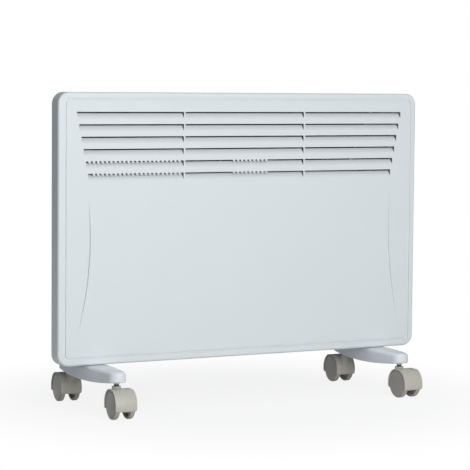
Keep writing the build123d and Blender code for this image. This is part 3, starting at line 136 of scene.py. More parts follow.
class CastorSizes(bpy.types.PropertyGroup):
    """The sizes of a hooded twin-wheel castor."""

    trail: length("Trail", 17.5, "Stem to axle")
    radius: length("Wheel radius", 22.5, "Axle to floor")
    spread: length("Spread", 17.0, "Castor's middle to a wheel's outer face")
    inner: length("Inner face", 8.5, "Castor's middle to a wheel's inner face")
    face: length("Face radius", 20.4, "Radius of the domed face")
    dome: length("Dome", 1.2, "Rise of the face over its rim")
    hub: length("Hub radius", 6.0, "Radius of the hub in the inner face")
    rim: length("Rim", 3.5, "Thickness of the tread round the hollow")
    dish: length("Dish", 4.0, "Depth of the hollow in the inner face")
    tread_round: length("Tread rounding", 1.6, "Rounding of the tread's edges")
    gap: length("Hood gap", 0.8, "Wheel to hood")
    wall: length("Hood wall", 1.3, "Thickness of the hood")
    half: length("Hood half width", 17.3, "Castor's middle to the hood's side edge")
    edge: length("Hood edge", 0.45, "Rounding of the hood's edges")
    corner: length("Hood corner", 3.0, "Rounding of the hood's lower corners")
    open: length("Hood opening", 14.0, "Floor to the hood's lower edge")
    web: length("Web half width", 7.4, "Half the width of the web between the wheels")
    boss: length("Boss radius", 7.0, "Radius of the boss round the stem")
    boss_top: length("Boss top", 47.9, "Floor to the boss's top")
    bore: length("Boss bore", 3.95, "Radius of the hole for the stem")


class DialSizes(bpy.types.PropertyGroup):
    """The sizes of the thermostat knob and its scale."""

    skirt: length("Skirt height", 5.0, "Height of the knob's skirt")
    grip: length("Grip radius", 11.5, "Radius of the fluted grip")
    flute: length("Flute depth", 0.9, "Depth of the flutes")
    flutes: bpy.props.IntProperty(name="Flutes", description="Flutes round the grip", default=12, min=3)
    pointer: length("Pointer width", 1.2, "Width of the pointer line")
    digit: length("Digit height", 4.2, "Height of the scale's numbers")
    digit_out: length("Digit radius", 21.0, "Knob's axis to the middle of a number")
    steps: bpy.props.IntProperty(name="Steps", description="Highest number", default=6, min=2)
    film: length("Print thickness", 0.06, "Thickness of the printed ink")


class StudioSettings(bpy.types.PropertyGroup):
    """The camera, the lamps and the floor."""

    focal: bpy.props.FloatProperty(
        name="Focal length", description="Of the camera, in mm", default=158.963, min=1, unit="CAMERA"
    )
    camera_at: point("Camera place", (-1.604913, -2.880442, 0.503219), "Where the camera stands")
    camera_turn: bpy.props.FloatVectorProperty(
        name="Camera turn",
        description="Turn about Z from the front, height angle and roll",
        default=(-0.50679, 0.0727, 0.00827),
        subtype="EULER",
        unit="ROTATION",
    )
    key: wattage("Key lamp", 42, "Power of the soft front lamp")
    key_size: length("Key lamp size", 1500.0, "Side of the front lamp's square")
    key_at: point("Key lamp place", (-0.4, -2.4, 0.85), "Where the front lamp hangs")
    key_aim: point("Key lamp aim", (0, 0, 0.25), "What the front lamp points at")
    top: wattage("Top lamp", 15, "Power of the soft top lamp")
    top_size: length("Top lamp size", 2000.0, "Side of the top lamp's square")
    top_at: point("Top lamp place", (-0.1, -1.1, 2.5), "Where the top lamp hangs")
    top_aim: point("Top lamp aim", (0, 0, 0.2), "What the top lamp points at")
    sky: bpy.props.FloatProperty(name="Sky", description="Light from all round", default=0.2, min=0)
    floor: length("Floor radius", 6000.0, "Radius of the pale floor")
    shadow: length("Shadow radius", 200.0, "The floor takes the full shadow within this radius")
    white: length("White radius", 600.0, "The floor is plain white beyond this radius")


# ---------------------------------------------------------------- surfaces
def unit(vectors):
    """Vectors scaled to a length of one."""
    return vectors / np.linalg.norm(vectors, axis=-1, keepdims=True)


def rounded(corners, radii, steps=7):
    """A profile through the corners, each replaced by an arc of its radius.

    The arc about a corner starts and ends radius / tan(half angle) along its two sides, and its points
    are the centre plus a spherical blend of the two vectors from the centre to those ends.
    """
    corners = np.array(corners, float)
    radii = np.array(radii, float)[:, None]
    back = unit(np.roll(corners, 1, 0) - corners)
    ahead = unit(np.roll(corners, -1, 0) - corners)
    half = np.arccos(np.clip((back * ahead).sum(1, keepdims=True), -1, 1)) / 2
    half = np.clip(half, LEAST_BEND, QUARTER - LEAST_BEND)
    centre = corners + unit(back + ahead + 1e-9) * radii / np.sin(half)
    first = corners + back * radii / np.tan(half) - centre
    last = corners + ahead * radii / np.tan(half) - centre
    sweep = (np.pi - 2 * half)[:, None]
    share = np.linspace(0, 1, steps)[None, :, None]
    blend = first[:, None] * np.sin((1 - share) * sweep) + last[:, None] * np.sin(share * sweep)
    return (centre[:, None] + blend / np.sin(sweep)).reshape(-1, 2)


def surface(points, closed_rows=False, closed_columns=False):
    """Points of a rows by columns grid with a quad between each four neighbours.

    A closed direction joins its last line to its first.
    """
    rows, columns = points.shape[:2]
    row, column = np.meshgrid(
        np.arange(rows if closed_rows else rows - 1),
        np.arange(columns if closed_columns else columns - 1),
        indexing="ij",
    )
    row, column = row.ravel(), column.ravel()
    below, beside = (row + 1) % rows, (column + 1) % columns
    here, under = row * columns, below * columns
    quads = np.stack([here + column, here + beside, under + beside, under + column], axis=1)
    return points.reshape(-1, 3), quads


def turned(profile, steps=96):
    """A profile of (along, out) turned about X: (along, out cos t, out sin t) for a full turn of t."""
    t = np.linspace(0, 2 * np.pi, steps, endpoint=False)[:, None]
    along, out = profile[None, :, 0], profile[None, :, 1]
    points = np.stack([along + 0 * t, out * np.cos(t), out * np.sin(t)], axis=-1)
    return surface(points, closed_rows=True)


def moved(shell, axes, origin):
    """The shell with its X, Y and Z laid along the three axes from that origin."""
    points, quads = shell
    return points @ np.array(axes, float) + np.array(origin, float), quads


def merged(name, points, quads, seam, outward):
    """A mesh of the quads with its seams and poles merged and, for a closed shell, its faces outward."""
    mesh = bpy.data.meshes.new(name)
    mesh.from_pydata(points.tolist(), [], quads.tolist())
    shape = bmesh.new()
    shape.from_mesh(mesh)
    bmesh.ops.remove_doubles(shape, verts=shape.verts, dist=seam)
    bmesh.ops.dissolve_degenerate(shape, edges=shape.edges, dist=SLIVER)
    if outward:
        bmesh.ops.recalc_face_normals(shape, faces=shape.faces)
    shape.to_mesh(mesh)
    shape.free()
    return mesh


def linked(name, data):
    """A new object of that data, linked to the scene."""
    thing = bpy.data.objects.new(name, data)
    bpy.context.scene.collection.objects.link(thing)
    return thing


def piece(name, shells, body, nodes=(), skin=None, crease=40):
    """One object of closed shells, shaded smooth up to a crease angle in degrees.

    It rides on the body, hides the nodes it stands for and takes the given finish.
    """
    starts = np.cumsum([0] + [len(points) for points, _ in shells])
    points = np.concatenate([points for points, _ in shells])
    quads = np.concatenate([quads + start for (_, quads), start in zip(shells, starts)])
    mesh = merged(name, points, quads, SEAM, outward=True)
    mesh.shade_smooth()
    mesh.set_sharp_from_angle(angle=radians(crease))
    thing = linked(name, mesh)
    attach(thing, body)
    if nodes:
        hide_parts(*nodes)
    if skin:
        mesh.materials.append(skin)
    return thing


def dress(skin, *names):
    """Gives CAD nodes that finish in all their material slots."""
    for name in names:
        node = frame["nodes"][name]
        if not node.material_slots:
            node.data.materials.append(skin)
        for slot in node.material_slots:
            slot.material = skin


# ---------------------------------------------------------------- finishes
def add(tree, kind, settings=None, inputs=None):
    """Adds a node with its settings, and gives its inputs their values or links from other sockets."""
    node = tree.nodes.new(kind)
    for name, value in (settings or {}).items():
        setattr(node, name, value)
    for name, value in (inputs or {}).items():
        if isinstance(value, bpy.types.NodeSocket):
            tree.links.new(value, node.inputs[name])
        else:
            node.inputs[name].default_value = value
    return node


def empty_tree(owner):
    """The emptied node tree of a material or a world."""
    owner.use_nodes = True
    owner.node_tree.nodes.clear()
    return owner.node_tree


def noise(tree, vector, size_mm, detail, roughness=0.5):
    """A noise with patches about that many millimetres wide."""
    inputs = {"Vector": vector, "Scale": 1000 / size_mm, "Detail": detail, "Roughness": roughness}
    return add(tree, "ShaderNodeTexNoise", inputs=inputs).outputs["Fac"]


def seen_by(tree, *rays):
    """One for rays of those kinds, such as "Is Camera Ray", and zero for the others."""
    path = add(tree, "ShaderNodeLightPath")
    seen = path.outputs[rays[0]]
    for ray in rays[1:]:
        both = {0: seen, 1: path.outputs[ray]}
        seen = add(tree, "ShaderNodeMath", {"operation": "MAXIMUM"}, both).outputs[0]
    return seen


def finish(name, shade, drift, drift_mm, rough, grain_mm, grain_up_mm, stretch=(1, 1, 1), **shader):
    """A finish whose colour and gloss drift over patches and whose skin has a fine grain.

    Colour: a noise with patches of drift_mm mixes the shade with the same shade times (1 - drift).
    Gloss: a noise 2.5 times as wide moves the roughness between the two values of rough.
    Grain: a noise with bumps of grain_mm, grain_up_mm high, drawn out by stretch along X, Y and Z.
    """
    skin = bpy.data.materials.new(name)
    tree = empty_tree(skin)
    spot = add(tree, "ShaderNodeTexCoord").outputs["Object"]
    drawn = add(tree, "ShaderNodeMapping", inputs={"Vector": spot, "Scale": stretch}).outputs["Vector"]
    patches = noise(tree, drawn, drift_mm, 3.0, 0.6)
    darker = tuple(channel * (1 - drift) for channel in shade[:3]) + (1.0,)
    tint = add(tree, "ShaderNodeMix", {"data_type": "RGBA"}, {0: patches, 6: tuple(shade), 7: darker})
    gloss = noise(tree, drawn, 2.5 * drift_mm, 2.0)
    # The noise seldom leaves 0.3 to 0.7, so that span is spread over the two values.
    ends = {"From Min": 0.3, "From Max": 0.7, "To Min": rough[0], "To Max": rough[1]}
    span = add(tree, "ShaderNodeMapRange", inputs={"Value": gloss, **ends})
    grain = noise(tree, drawn, grain_mm, 2.0, 0.55)
    bump = add(
        tree, "ShaderNodeBump", inputs={"Height": grain, "Distance": grain_up_mm / 1000, "Strength": 1.0}
    )
    surface_shader = add(
        tree,
        "ShaderNodeBsdfPrincipled",
        inputs={
            "Base Color": tint.outputs[2],
            "Roughness": span.outputs["Result"],
            "Normal": bump.outputs["Normal"],
            **shader,
        },
    )
    add(tree, "ShaderNodeOutputMaterial", inputs={"Surface": surface_shader.outputs["BSDF"]})
    return skin


# ---------------------------------------------------------------- operators
class CoatCasing(bpy.types.Operator):
    """Powder-coats the front panel and the back pan."""

    bl_idname = "heater.coat_casing"
    bl_label = "Coat casing"

    def execute(self, context):
        # Polyester powder coat on sheet steel: an even white with a faint orange peel, satin gloss.
        colours = context.scene.heater_finishes
        coat = finish("powder_coated_steel", colours.coat, 0.03, 160, (0.36, 0.46), 1.6, 0.006, IOR=1.5)
        dress(coat, "front_panel", "rear_housing")
        return {"FINISHED"}


class FinishFeet(bpy.types.Operator):
    """Finishes the two moulded feet."""

    bl_idname = "heater.finish_feet"
    bl_label = "Finish feet"

    def execute(self, context):
        # Injection-moulded ABS: a smooth satin skin with a very fine spark-eroded texture.
        colours = context.scene.heater_finishes
        plastic = finish("moulded_abs_foot", colours.foot, 0.04, 60, (0.38, 0.5), 0.9, 0.008, IOR=1.53)
        dress(plastic, "foot_left", "foot_right")
        return {"FINISHED"}


def castor_axes(name):
    """The castor's across, along and up axes, and the foot of its stem on the floor.

    Along points from the axle to the stem, and across to the right of it.
    """
    up = Vector((0, 0, 1))
    stem = Vector(JOINTS[f"castor_{name}_swivel"]["pos_m"])
    along = stem - Vector(JOINTS[f"wheel_{name}_outboard_spin"]["pos_m"])
    along = (along - along.dot(up) * up).normalized()
    return [along.cross(up), along, up], (stem.x, stem.y, 0)


class BuildHoods(bpy.types.Operator):
    """Moulds the four castor hoods: a wrapped shell, the web between the wheels and the boss."""

    bl_idname = "heater.build_hoods"
    bl_label = "Build castor hoods"

    @staticmethod
    def shell(
        sizes, edge_rows=6, corner_rows=9, crown_rows=36, corner_span=(0.012, 0.16), crown_gap=0.03
    ):
        """A rounded strip carried round the axle.

        At angle a the strip's section is a rounded rectangle from the inner to the outer radius, as wide
        as the hood, less corner - sqrt(corner^2 - (corner - rise)^2) within a corner's rise of the lower
        edge. Its point is (across, -trail + r cos a, radius + r sin a). The end rows shrink to the
        strip's middle. The rows of the lower corners span corner_span, in radians past the rounded edge,
        and the crown's rows start crown_gap above them.
        """
        low = sizes.radius + sizes.gap
        high = low + sizes.wall
        start = -np.arcsin((sizes.radius - sizes.open) / high)
        bend = np.linspace(0, QUARTER, edge_rows)
        lead = np.concatenate([[0], sizes.edge * (1 - np.cos(bend))]) / high
        fine = lead[-1] + np.linspace(*corner_span, corner_rows)
        run = np.linspace(fine[-1] + crown_gap, QUARTER, crown_rows)
        ahead = np.concatenate([lead, fine, run])
        angle = start + np.concatenate([ahead, (np.pi - 2 * start) - ahead[-2::-1]])
        full = np.full(corner_rows + crown_rows, sizes.edge)
        round_to = np.concatenate([[0], sizes.edge * np.sin(bend), full])
        core = np.concatenate([[0], np.full(len(ahead) - 1, sizes.wall / 2 - sizes.edge)])
        round_to = np.concatenate([round_to, round_to[-2::-1]])[:, None]
        core = np.concatenate([core, core[-2::-1]])[:, None]
        rise = np.clip(sizes.radius + high * np.sin(angle) - sizes.open, 0, sizes.corner)
        half = sizes.half - (sizes.corner - np.sqrt(sizes.corner**2 - (sizes.corner - rise) ** 2))
        turn = np.linspace(0, QUARTER, ARC_POINTS)
        phase = np.concatenate([turn + quarter * QUARTER for quarter in range(4)])
        side = np.repeat([1, -1, -1, 1], ARC_POINTS)
        layer = np.repeat([1, 1, -1, -1], ARC_POINTS)
        across = side * (half[:, None] - sizes.edge) + round_to * np.cos(phase)
        out = (low + high) / 2 + layer * core + round_to * np.sin(phase)
        along = -sizes.trail + out * np.cos(angle)[:, None]
        up = sizes.radius + out * np.sin(angle)[:, None]
        return surface(np.stack([across, along, up], axis=-1), closed_columns=True)

    @staticmethod
    def web(sizes, steps=120):
        """A disc about the axle with round rims, cut flat at the hood's opening.

        Its outline is (r cos a, max(r sin a, cut)), and each row keeps 1 - inset / r of it.
        """
        radius = sizes.radius + sizes.gap + sizes.wall / 2
        angle = np.linspace(0, 2 * np.pi, steps, endpoint=False)
        along = radius * np.cos(angle)
        up = np.maximum(radius * np.sin(angle), sizes.open - sizes.radius)
        bend = np.linspace(0, QUARTER, ARC_POINTS)
        inset = np.concatenate([[radius], sizes.edge * (1 - np.sin(bend))])
        across = np.concatenate([[sizes.web], sizes.web - sizes.edge * (1 - np.cos(bend))])
        inset = np.concatenate([inset, inset[::-1]])[:, None]
        across = np.concatenate([across, -across[::-1]])[:, None]
        keep = 1 - inset / radius
        rows = [across + 0 * angle, along * keep - sizes.trail, up * keep + sizes.radius]
        return surface(np.stack(rows, axis=-1), closed_columns=True)

    @staticmethod
    def boss(sizes, steps=72):
        """A round boss turned about the stem, with a short chamfered bore and a rounded top."""
        deep = sizes.boss_top - 6 * sizes.edge
        top_round = 1.5 * sizes.edge
        corners = [
            (deep, 0),
            (deep, sizes.bore),
            (sizes.boss_top - sizes.edge, sizes.bore),
            (sizes.boss_top, sizes.bore + sizes.edge),
            (sizes.boss_top, sizes.boss),
            (sizes.radius, sizes.boss),
            (sizes.radius, 0),
        ]
        profile = rounded(corners, [0, 0, 0, 0, top_round, 0, 0])
        return moved(turned(profile, steps), [(0, 0, 1), (1, 0, 0), (0, 1, 0)], (0, 0, 0))

    def execute(self, context):
        # Injection-moulded polypropylene: warm grey, satin, with a soft drift from the flow of the melt.
        colours, sizes = context.scene.heater_finishes, context.scene.heater_castors
        plastic = finish(
            "moulded_polypropylene_hood", colours.hood, 0.06, 30, (0.4, 0.52), 0.8, 0.01, IOR=1.49
        )
        shells = [self.shell(sizes), self.web(sizes), self.boss(sizes)]
        for name in CASTORS:
            axes, origin = castor_axes(name)
            placed = [moved(shell, axes, origin) for shell in shells]
            nodes = [f"castor_hood_{name}"]
            piece(f"hood_{name}", placed, f"castor_{name}", nodes, plastic)
        return {"FINISHED"}


class BuildWheels(bpy.types.Operator):
    """Turns the eight wheels: a domed face, a tread with round edges and a dished inner face."""

    bl_idname = "heater.build_wheels"
    bl_label = "Build wheels"

    @staticmethod
    def wheel(sizes, dome_rows=13):
        """One profile turned about the axle: dome, groove, rim, tread, hollow, hub and blind bore.

        The dome is the parabola spread - fall (r / face)^2, out to the groove at the face's radius, and
        falls by 0.6 of the face's rise over the rim.
        """
        rim = sizes.spread - sizes.dome
        fall = 0.6 * sizes.dome
        out = np.linspace(0, 1, dome_rows, endpoint=False) * sizes.face
        dome = np.stack([sizes.spread - fall * (out / sizes.face) ** 2, out], axis=1)
        step = 0.1 * sizes.rim
        groove = step / 2
        bore_end = sizes.spread - 3 * step - 2 * sizes.dome
        corners = [
            (sizes.spread - fall, sizes.face - step),
            (rim - groove, sizes.face),
            (rim, sizes.face + step),
            (rim, sizes.radius),
            (sizes.inner, sizes.radius),
            (sizes.inner, sizes.radius - sizes.rim),
            (sizes.inner + sizes.dish, sizes.radius - sizes.rim),
            (sizes.inner + sizes.dish, sizes.hub),
            (sizes.inner, sizes.hub),
            (sizes.inner, sizes.hub / 2),
            (bore_end, sizes.hub / 2),
            (bore_end, 0),
        ]
        radii = [0, 0, 0, sizes.tread_round, sizes.tread_round, step, step, step, step, 0, 0, 0]
        return turned(np.concatenate([dome, rounded(corners, radii)]))

    @staticmethod
    def coat_tread(thing, tread, centre, axle, sizes):
        """Gives the tread's finish to every face but those of the dome, which lie within its radius."""
        thing.data.materials.append(tread)
        for face in thing.data.polygons:
            arm = face.center - centre
            across = arm.dot(axle)
            outer = across > sizes.spread - 2 * sizes.dome
            domed = outer and (arm - across * axle).length < sizes.face
            face.material_index = 0 if domed else 1

    def execute(self, context):
        # Injection-moulded polyamide, harder and a little glossier than the hoods; the face's grey is
        # darker than the tread's, painted shade on the wheel faces.
        colours, sizes = context.scene.heater_finishes, context.scene.heater_castors
        plastic = finish(
            "polyamide_wheel_face_painted_shade", colours.wheel, 0.08, 18, (0.34, 0.46), 0.7, 0.012, IOR=1.53
        )
        # The running surface is a softer polyurethane: warm and duller than the face, and paler, as the
        # face's grey carries painted shade.
        tread = finish("polyurethane_tread", colours.tread, 0.06, 14, (0.5, 0.62), 0.6, 0.014, IOR=1.5)
        shell = self.wheel(sizes)
        for name in CASTORS:
            axes, origin = castor_axes(name)
            centre = Vector(origin) - axes[1] * sizes.trail + axes[2] * sizes.radius
            # The outboard wheel is the one on the side away from the heater's middle.
            away = 1 if origin[0] * axes[0].x > 0 else -1
            for side, way in (("outboard", away), ("inboard", -away)):
                wheel = f"wheel_{name}_{side}"
                axle = axes[0] * way
                placed = [moved(shell, [axle, axes[1], axes[2]], centre)]
                thing = piece(f"{wheel}_dressed", placed, wheel, [wheel], plastic)
                self.coat_tread(thing, tread, centre, axle, sizes)
        return {"FINISHED"}


class FinishPins(bpy.types.Operator):
    """Finishes the castor stems and axles."""

    bl_idname = "heater.finish_pins"
    bl_label = "Finish pins"

    def execute(self, context):
        # Turned steel with a dark zinc coat: blue-grey, with fine turning marks round the pin.
        colours = context.scene.heater_finishes
        stem = finish(
            "dark_zinc_stem", colours.stem, 0.2, 8, (0.3, 0.42), 0.5, 0.01, (0.2, 0.2, 4), Metallic=1.0
        )
        dress(stem, *[f"castor_stem_{name}" for name in CASTORS])
        # Bright zinc-plated steel: pale metal with a faint milky bloom.
        axle = finish(
            "zinc_plated_axle", linear("#b4b6b8"), 0.15, 6, (0.28, 0.4), 0.5, 0.008, Metallic=1.0
        )
        dress(axle, *[f"castor_axle_{name}" for name in CASTORS])
        return {"FINISHED"}


class BuildDial(bpy.types.Operator):
    """Builds the thermostat knob and prints its scale on the fascia."""

    bl_idname = "heater.build_dial"
    bl_label = "Build dial"

    @staticmethod
    def knob(sizes, radius, height, steps=240):
        """A profile turned about X, with flutes on the grip.

        On the side of the grip the radius is out - flute ((1 + cos(flutes t)) / 2)^3, and the flutes run
        out over one step above the skirt. The top is dished by half a step.
        """
        step = sizes.skirt / 8
        soft = 1.6 * step
        dished = height - step / 2
        corners = [
            (0, 0),
            (0, radius),
            (sizes.skirt, radius),
            (sizes.skirt, sizes.grip),
            (height, sizes.grip),
            (dished, sizes.grip / 4),
            (dished, 0),
        ]
        profile = rounded(corners, [0, step / 2, soft, step, soft, 2 * step, 0])
        t = np.linspace(0, 2 * np.pi, steps, endpoint=False)[:, None]
        along, out = profile[None, :, 0], profile[None, :, 1]
        on_side = out > 0.9 * sizes.grip
        on_grip = np.clip((along - sizes.skirt - step) / step, 0, 1) * on_side
        out = out - sizes.flute * on_grip * (0.5 + 0.5 * np.cos(sizes.flutes * t)) ** 3
        points = np.stack([along + 0 * t, out * np.cos(t), out * np.sin(t)], axis=-1)
        return surface(points, closed_rows=True)

    @staticmethod
    def bar(start, end, width, thick):
        """A flat bar with rounded corners along a line in the YZ plane, between two faces."""
        start, end = np.array(start), np.array(end)
        way = unit(end - start)
        beside = np.array([-way[1], way[0]]) * width / 2
        ends = [start + beside, start - beside, end - beside, end + beside]
        outline = rounded(ends, [0.3 * width] * 4, ARC_POINTS)
        middle = outline.mean(0)
        rows = np.array([0, 1, 1, 0])[:, None, None]
        flat = middle + (outline - middle) * rows
        depth = np.array([0, 0, thick, thick])[:, None] + 0 * flat[..., 0]
        return surface(np.concatenate([depth[..., None], flat], axis=-1), closed_columns=True)

    @staticmethod
    def digit(text, height, thick):
        """A number as a closed mesh of its own, standing in the YZ plane about its middle."""
        curve = bpy.data.curves.new("digit", "FONT")
        curve.body = text
        curve.size = FONT_SIZE * height
        curve.extrude = thick / 2
        curve.align_x = curve.align_y = "CENTER"
        thing = bpy.data.objects.new("digit", curve)
        mesh = bpy.data.meshes.new_from_object(thing)
        bpy.data.objects.remove(thing)
        mesh.transform(Matrix(((0, 0, 1, 0), (1, 0, 0, 0), (0, 1, 0, 0), (0, 0, 0, 1))))
        return mesh

    def execute(self, context):
        colours, sizes = context.scene.heater_finishes, context.scene.heater_dial
        low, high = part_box("thermostat_knob")
        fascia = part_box("control_fascia")[1].x
        centre = Vector((low.x, (low.y + high.y) / 2, (low.z + high.z) / 2))
        # Moulded ABS: pale grey, satin, smooth to the finger.
        plastic = finish("moulded_abs_knob", colours.knob, 0.04, 12, (0.34, 0.44), 0.6, 0.006, IOR=1.53)
        radius, height = (high.z - low.z) / 2, high.x - low.x
        body = moved(self.knob(sizes, radius, height), UPRIGHT, centre)
        nodes = ["thermostat_knob"]
        piece("knob_fluted", [body], "thermostat_dial", nodes, plastic, crease=50)
        # Screen-printed ink: dark, flat and slightly rough.
        ink = finish("screen_print_ink", colours.print, 0.1, 4, (0.5, 0.62), 0.4, 0.004, IOR=1.5)
        # The pointer spans 0.35 to 0.82 of the grip's radius, and is sunk by half its film.
        pointer = self.bar((0, 0.35 * sizes.grip), (0, 0.82 * sizes.grip), sizes.pointer, sizes.film)
        top = moved(pointer, UPRIGHT, centre + Vector((height - sizes.film / 2, 0, 0)))
        piece("knob_pointer", [top], "thermostat_dial", skin=ink)
        # A tick for each half number, just outside the knob.
        turn = JOINTS["thermostat_turn"]
        sweep = radians(turn["range_deg"][1]) * -np.sign(turn["axis"][0])
        inside, outside, tick_width = 1.04 * radius, 1.12 * radius, 6 * sizes.film
        spot = (fascia - sizes.film / 4, centre.y, centre.z)
        ticks = []
        for share in np.linspace(0, 1, sizes.steps * 2 + 1):
            way = np.array([np.sin(share * sweep), np.cos(share * sweep)])
            tick = self.bar(way * inside, way * outside, tick_width, sizes.film)
            ticks.append(moved(tick, UPRIGHT, spot))
        piece("dial_ticks", ticks, "heater_body", skin=ink)
        for step in range(sizes.steps + 1):
            angle = sweep * step / sizes.steps
            mesh = self.digit(str(step), sizes.digit, sizes.film)
            spot = Vector((fascia + sizes.film / 4, centre.y, centre.z))
            spot += Vector((0, np.sin(angle), np.cos(angle))) * sizes.digit_out
            mesh.transform(Matrix.Translation(spot))
            mesh.materials.clear()
            mesh.materials.append(ink)
            number = linked(f"dial_number_{step}", mesh)
            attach(number, "heater_body")
        return {"FINISHED"}


class FinishControls(bpy.types.Operator):
    """Finishes the fascia, the switches and the lamp."""

    bl_idname = "heater.finish_controls"
    bl_label = "Finish controls"

    def execute(self, context):
        colours = context.scene.heater_finishes
        # Moulded ABS plate with a spark-eroded grain that takes the shine off.
        plate = finish(
            "textured_abs_fascia", colours.fascia, 0.04, 25, (0.48, 0.58), 0.8, 0.02, IOR=1.53
        )
        dress(plate, "control_fascia")
        # Black moulded polyamide: deep, dull, with a fine grain.
        black = finish("black_polyamide", linear("#26272a"), 0.2, 12, (0.42, 0.55), 0.7, 0.015, IOR=1.53)
        dress(
            black,
            "control_box",
            "rocker_frame_upper",
            "rocker_frame_lower",
            "cable_gland",
            "gland_nut",
            "terminal_block",
            "tilt_switch_case",
            "thermostat_body",
            "tilt_pendulum",
        )
        # Polished polycarbonate: black with a clean reflection.
        polished = finish(
            "polished_polycarbonate", linear("#1d1e21"), 0.15, 10, (0.12, 0.2), 0.6, 0.002, IOR=1.58
        )
        dress(polished, "rocker_upper", "rocker_lower")
        # Clear amber polycarbonate lens, half see-through.
        clear = {"IOR": 1.58, "Transmission Weight": 0.5}
        lens = finish("amber_lens", colours.lens, 0.1, 4, (0.08, 0.16), 0.5, 0.002, **clear)
        dress(lens, "indicator_lamp")
        return {"FINISHED"}


class FinishInside(bpy.types.Operator):
    """Finishes the element, the sheets, the switches' metal parts and the wiring."""

    bl_idname = "heater.finish_inside"
    bl_label = "Finish inside"

    def execute(self, context):
        # Extruded aluminium: silver grey with long die lines.
        along = (0.03, 1, 1)
        drawn = finish(
            "extruded_aluminium", linear("#bcbdbf"), 0.12, 30, (0.3, 0.42), 2.0, 0.01, along, Metallic=1.0
        )
        dress(drawn, "heating_element")
        # Aluminised steel sheet: pale spangled metal, duller than bare aluminium.
        sheet = finish(
            "aluminised_sheet", linear("#c1c3c5"), 0.14, 14, (0.34, 0.5), 4.0, 0.01, Metallic=1.0
        )
        dress(sheet, "heat_shield", "element_bracket_left", "element_bracket_right")
        # Blue-black, dull deflector behind the louvres: painted shade, so the slots look dark.
        slot_shade = finish(
            "deflector_painted_shade", linear("#2b323a"), 0.15, 25, (0.5, 0.62), 0.9, 0.012, IOR=1.5
        )
        dress(slot_shade, "air_deflector")
        # Glazed steatite: warm white, glossy, with tiny specks.
        ceramic = finish(
            "glazed_steatite", linear("#e6e2d6"), 0.08, 3, (0.12, 0.22), 0.8, 0.006, IOR=1.6
        )
        dress(ceramic, "element_insulator_left", "element_insulator_right", "thermal_cutout")
        # Brass, dulled by warmth.
        brass = finish(
            "dulled_brass", linear("#c49a52"), 0.25, 5, (0.28, 0.42), 0.6, 0.008, Metallic=1.0
        )
        dress(brass, "element_terminal_left", "element_terminal_right")
        # Silicone sleeve: off-white, soft, slightly dusty.
        sleeve = finish("silicone_sleeve", linear("#d4d2c9"), 0.08, 10, (0.55, 0.7), 0.7, 0.02, IOR=1.41)
        dress(sleeve, "internal_wiring")
        # Bright zinc-plated screws: cool metal with a faint milky bloom.
        zinc = finish(
            "zinc_plated_screws", linear("#b9bbbd"), 0.18, 3, (0.28, 0.42), 0.5, 0.01, Metallic=1.0
        )
        dress(zinc, *[f"{where}_screws" for where in ("back", "floor", "foot", "fascia", "panel")])
        dress(zinc, "foot_nuts", "thermostat_spindle")
        return {"FINISHED"}


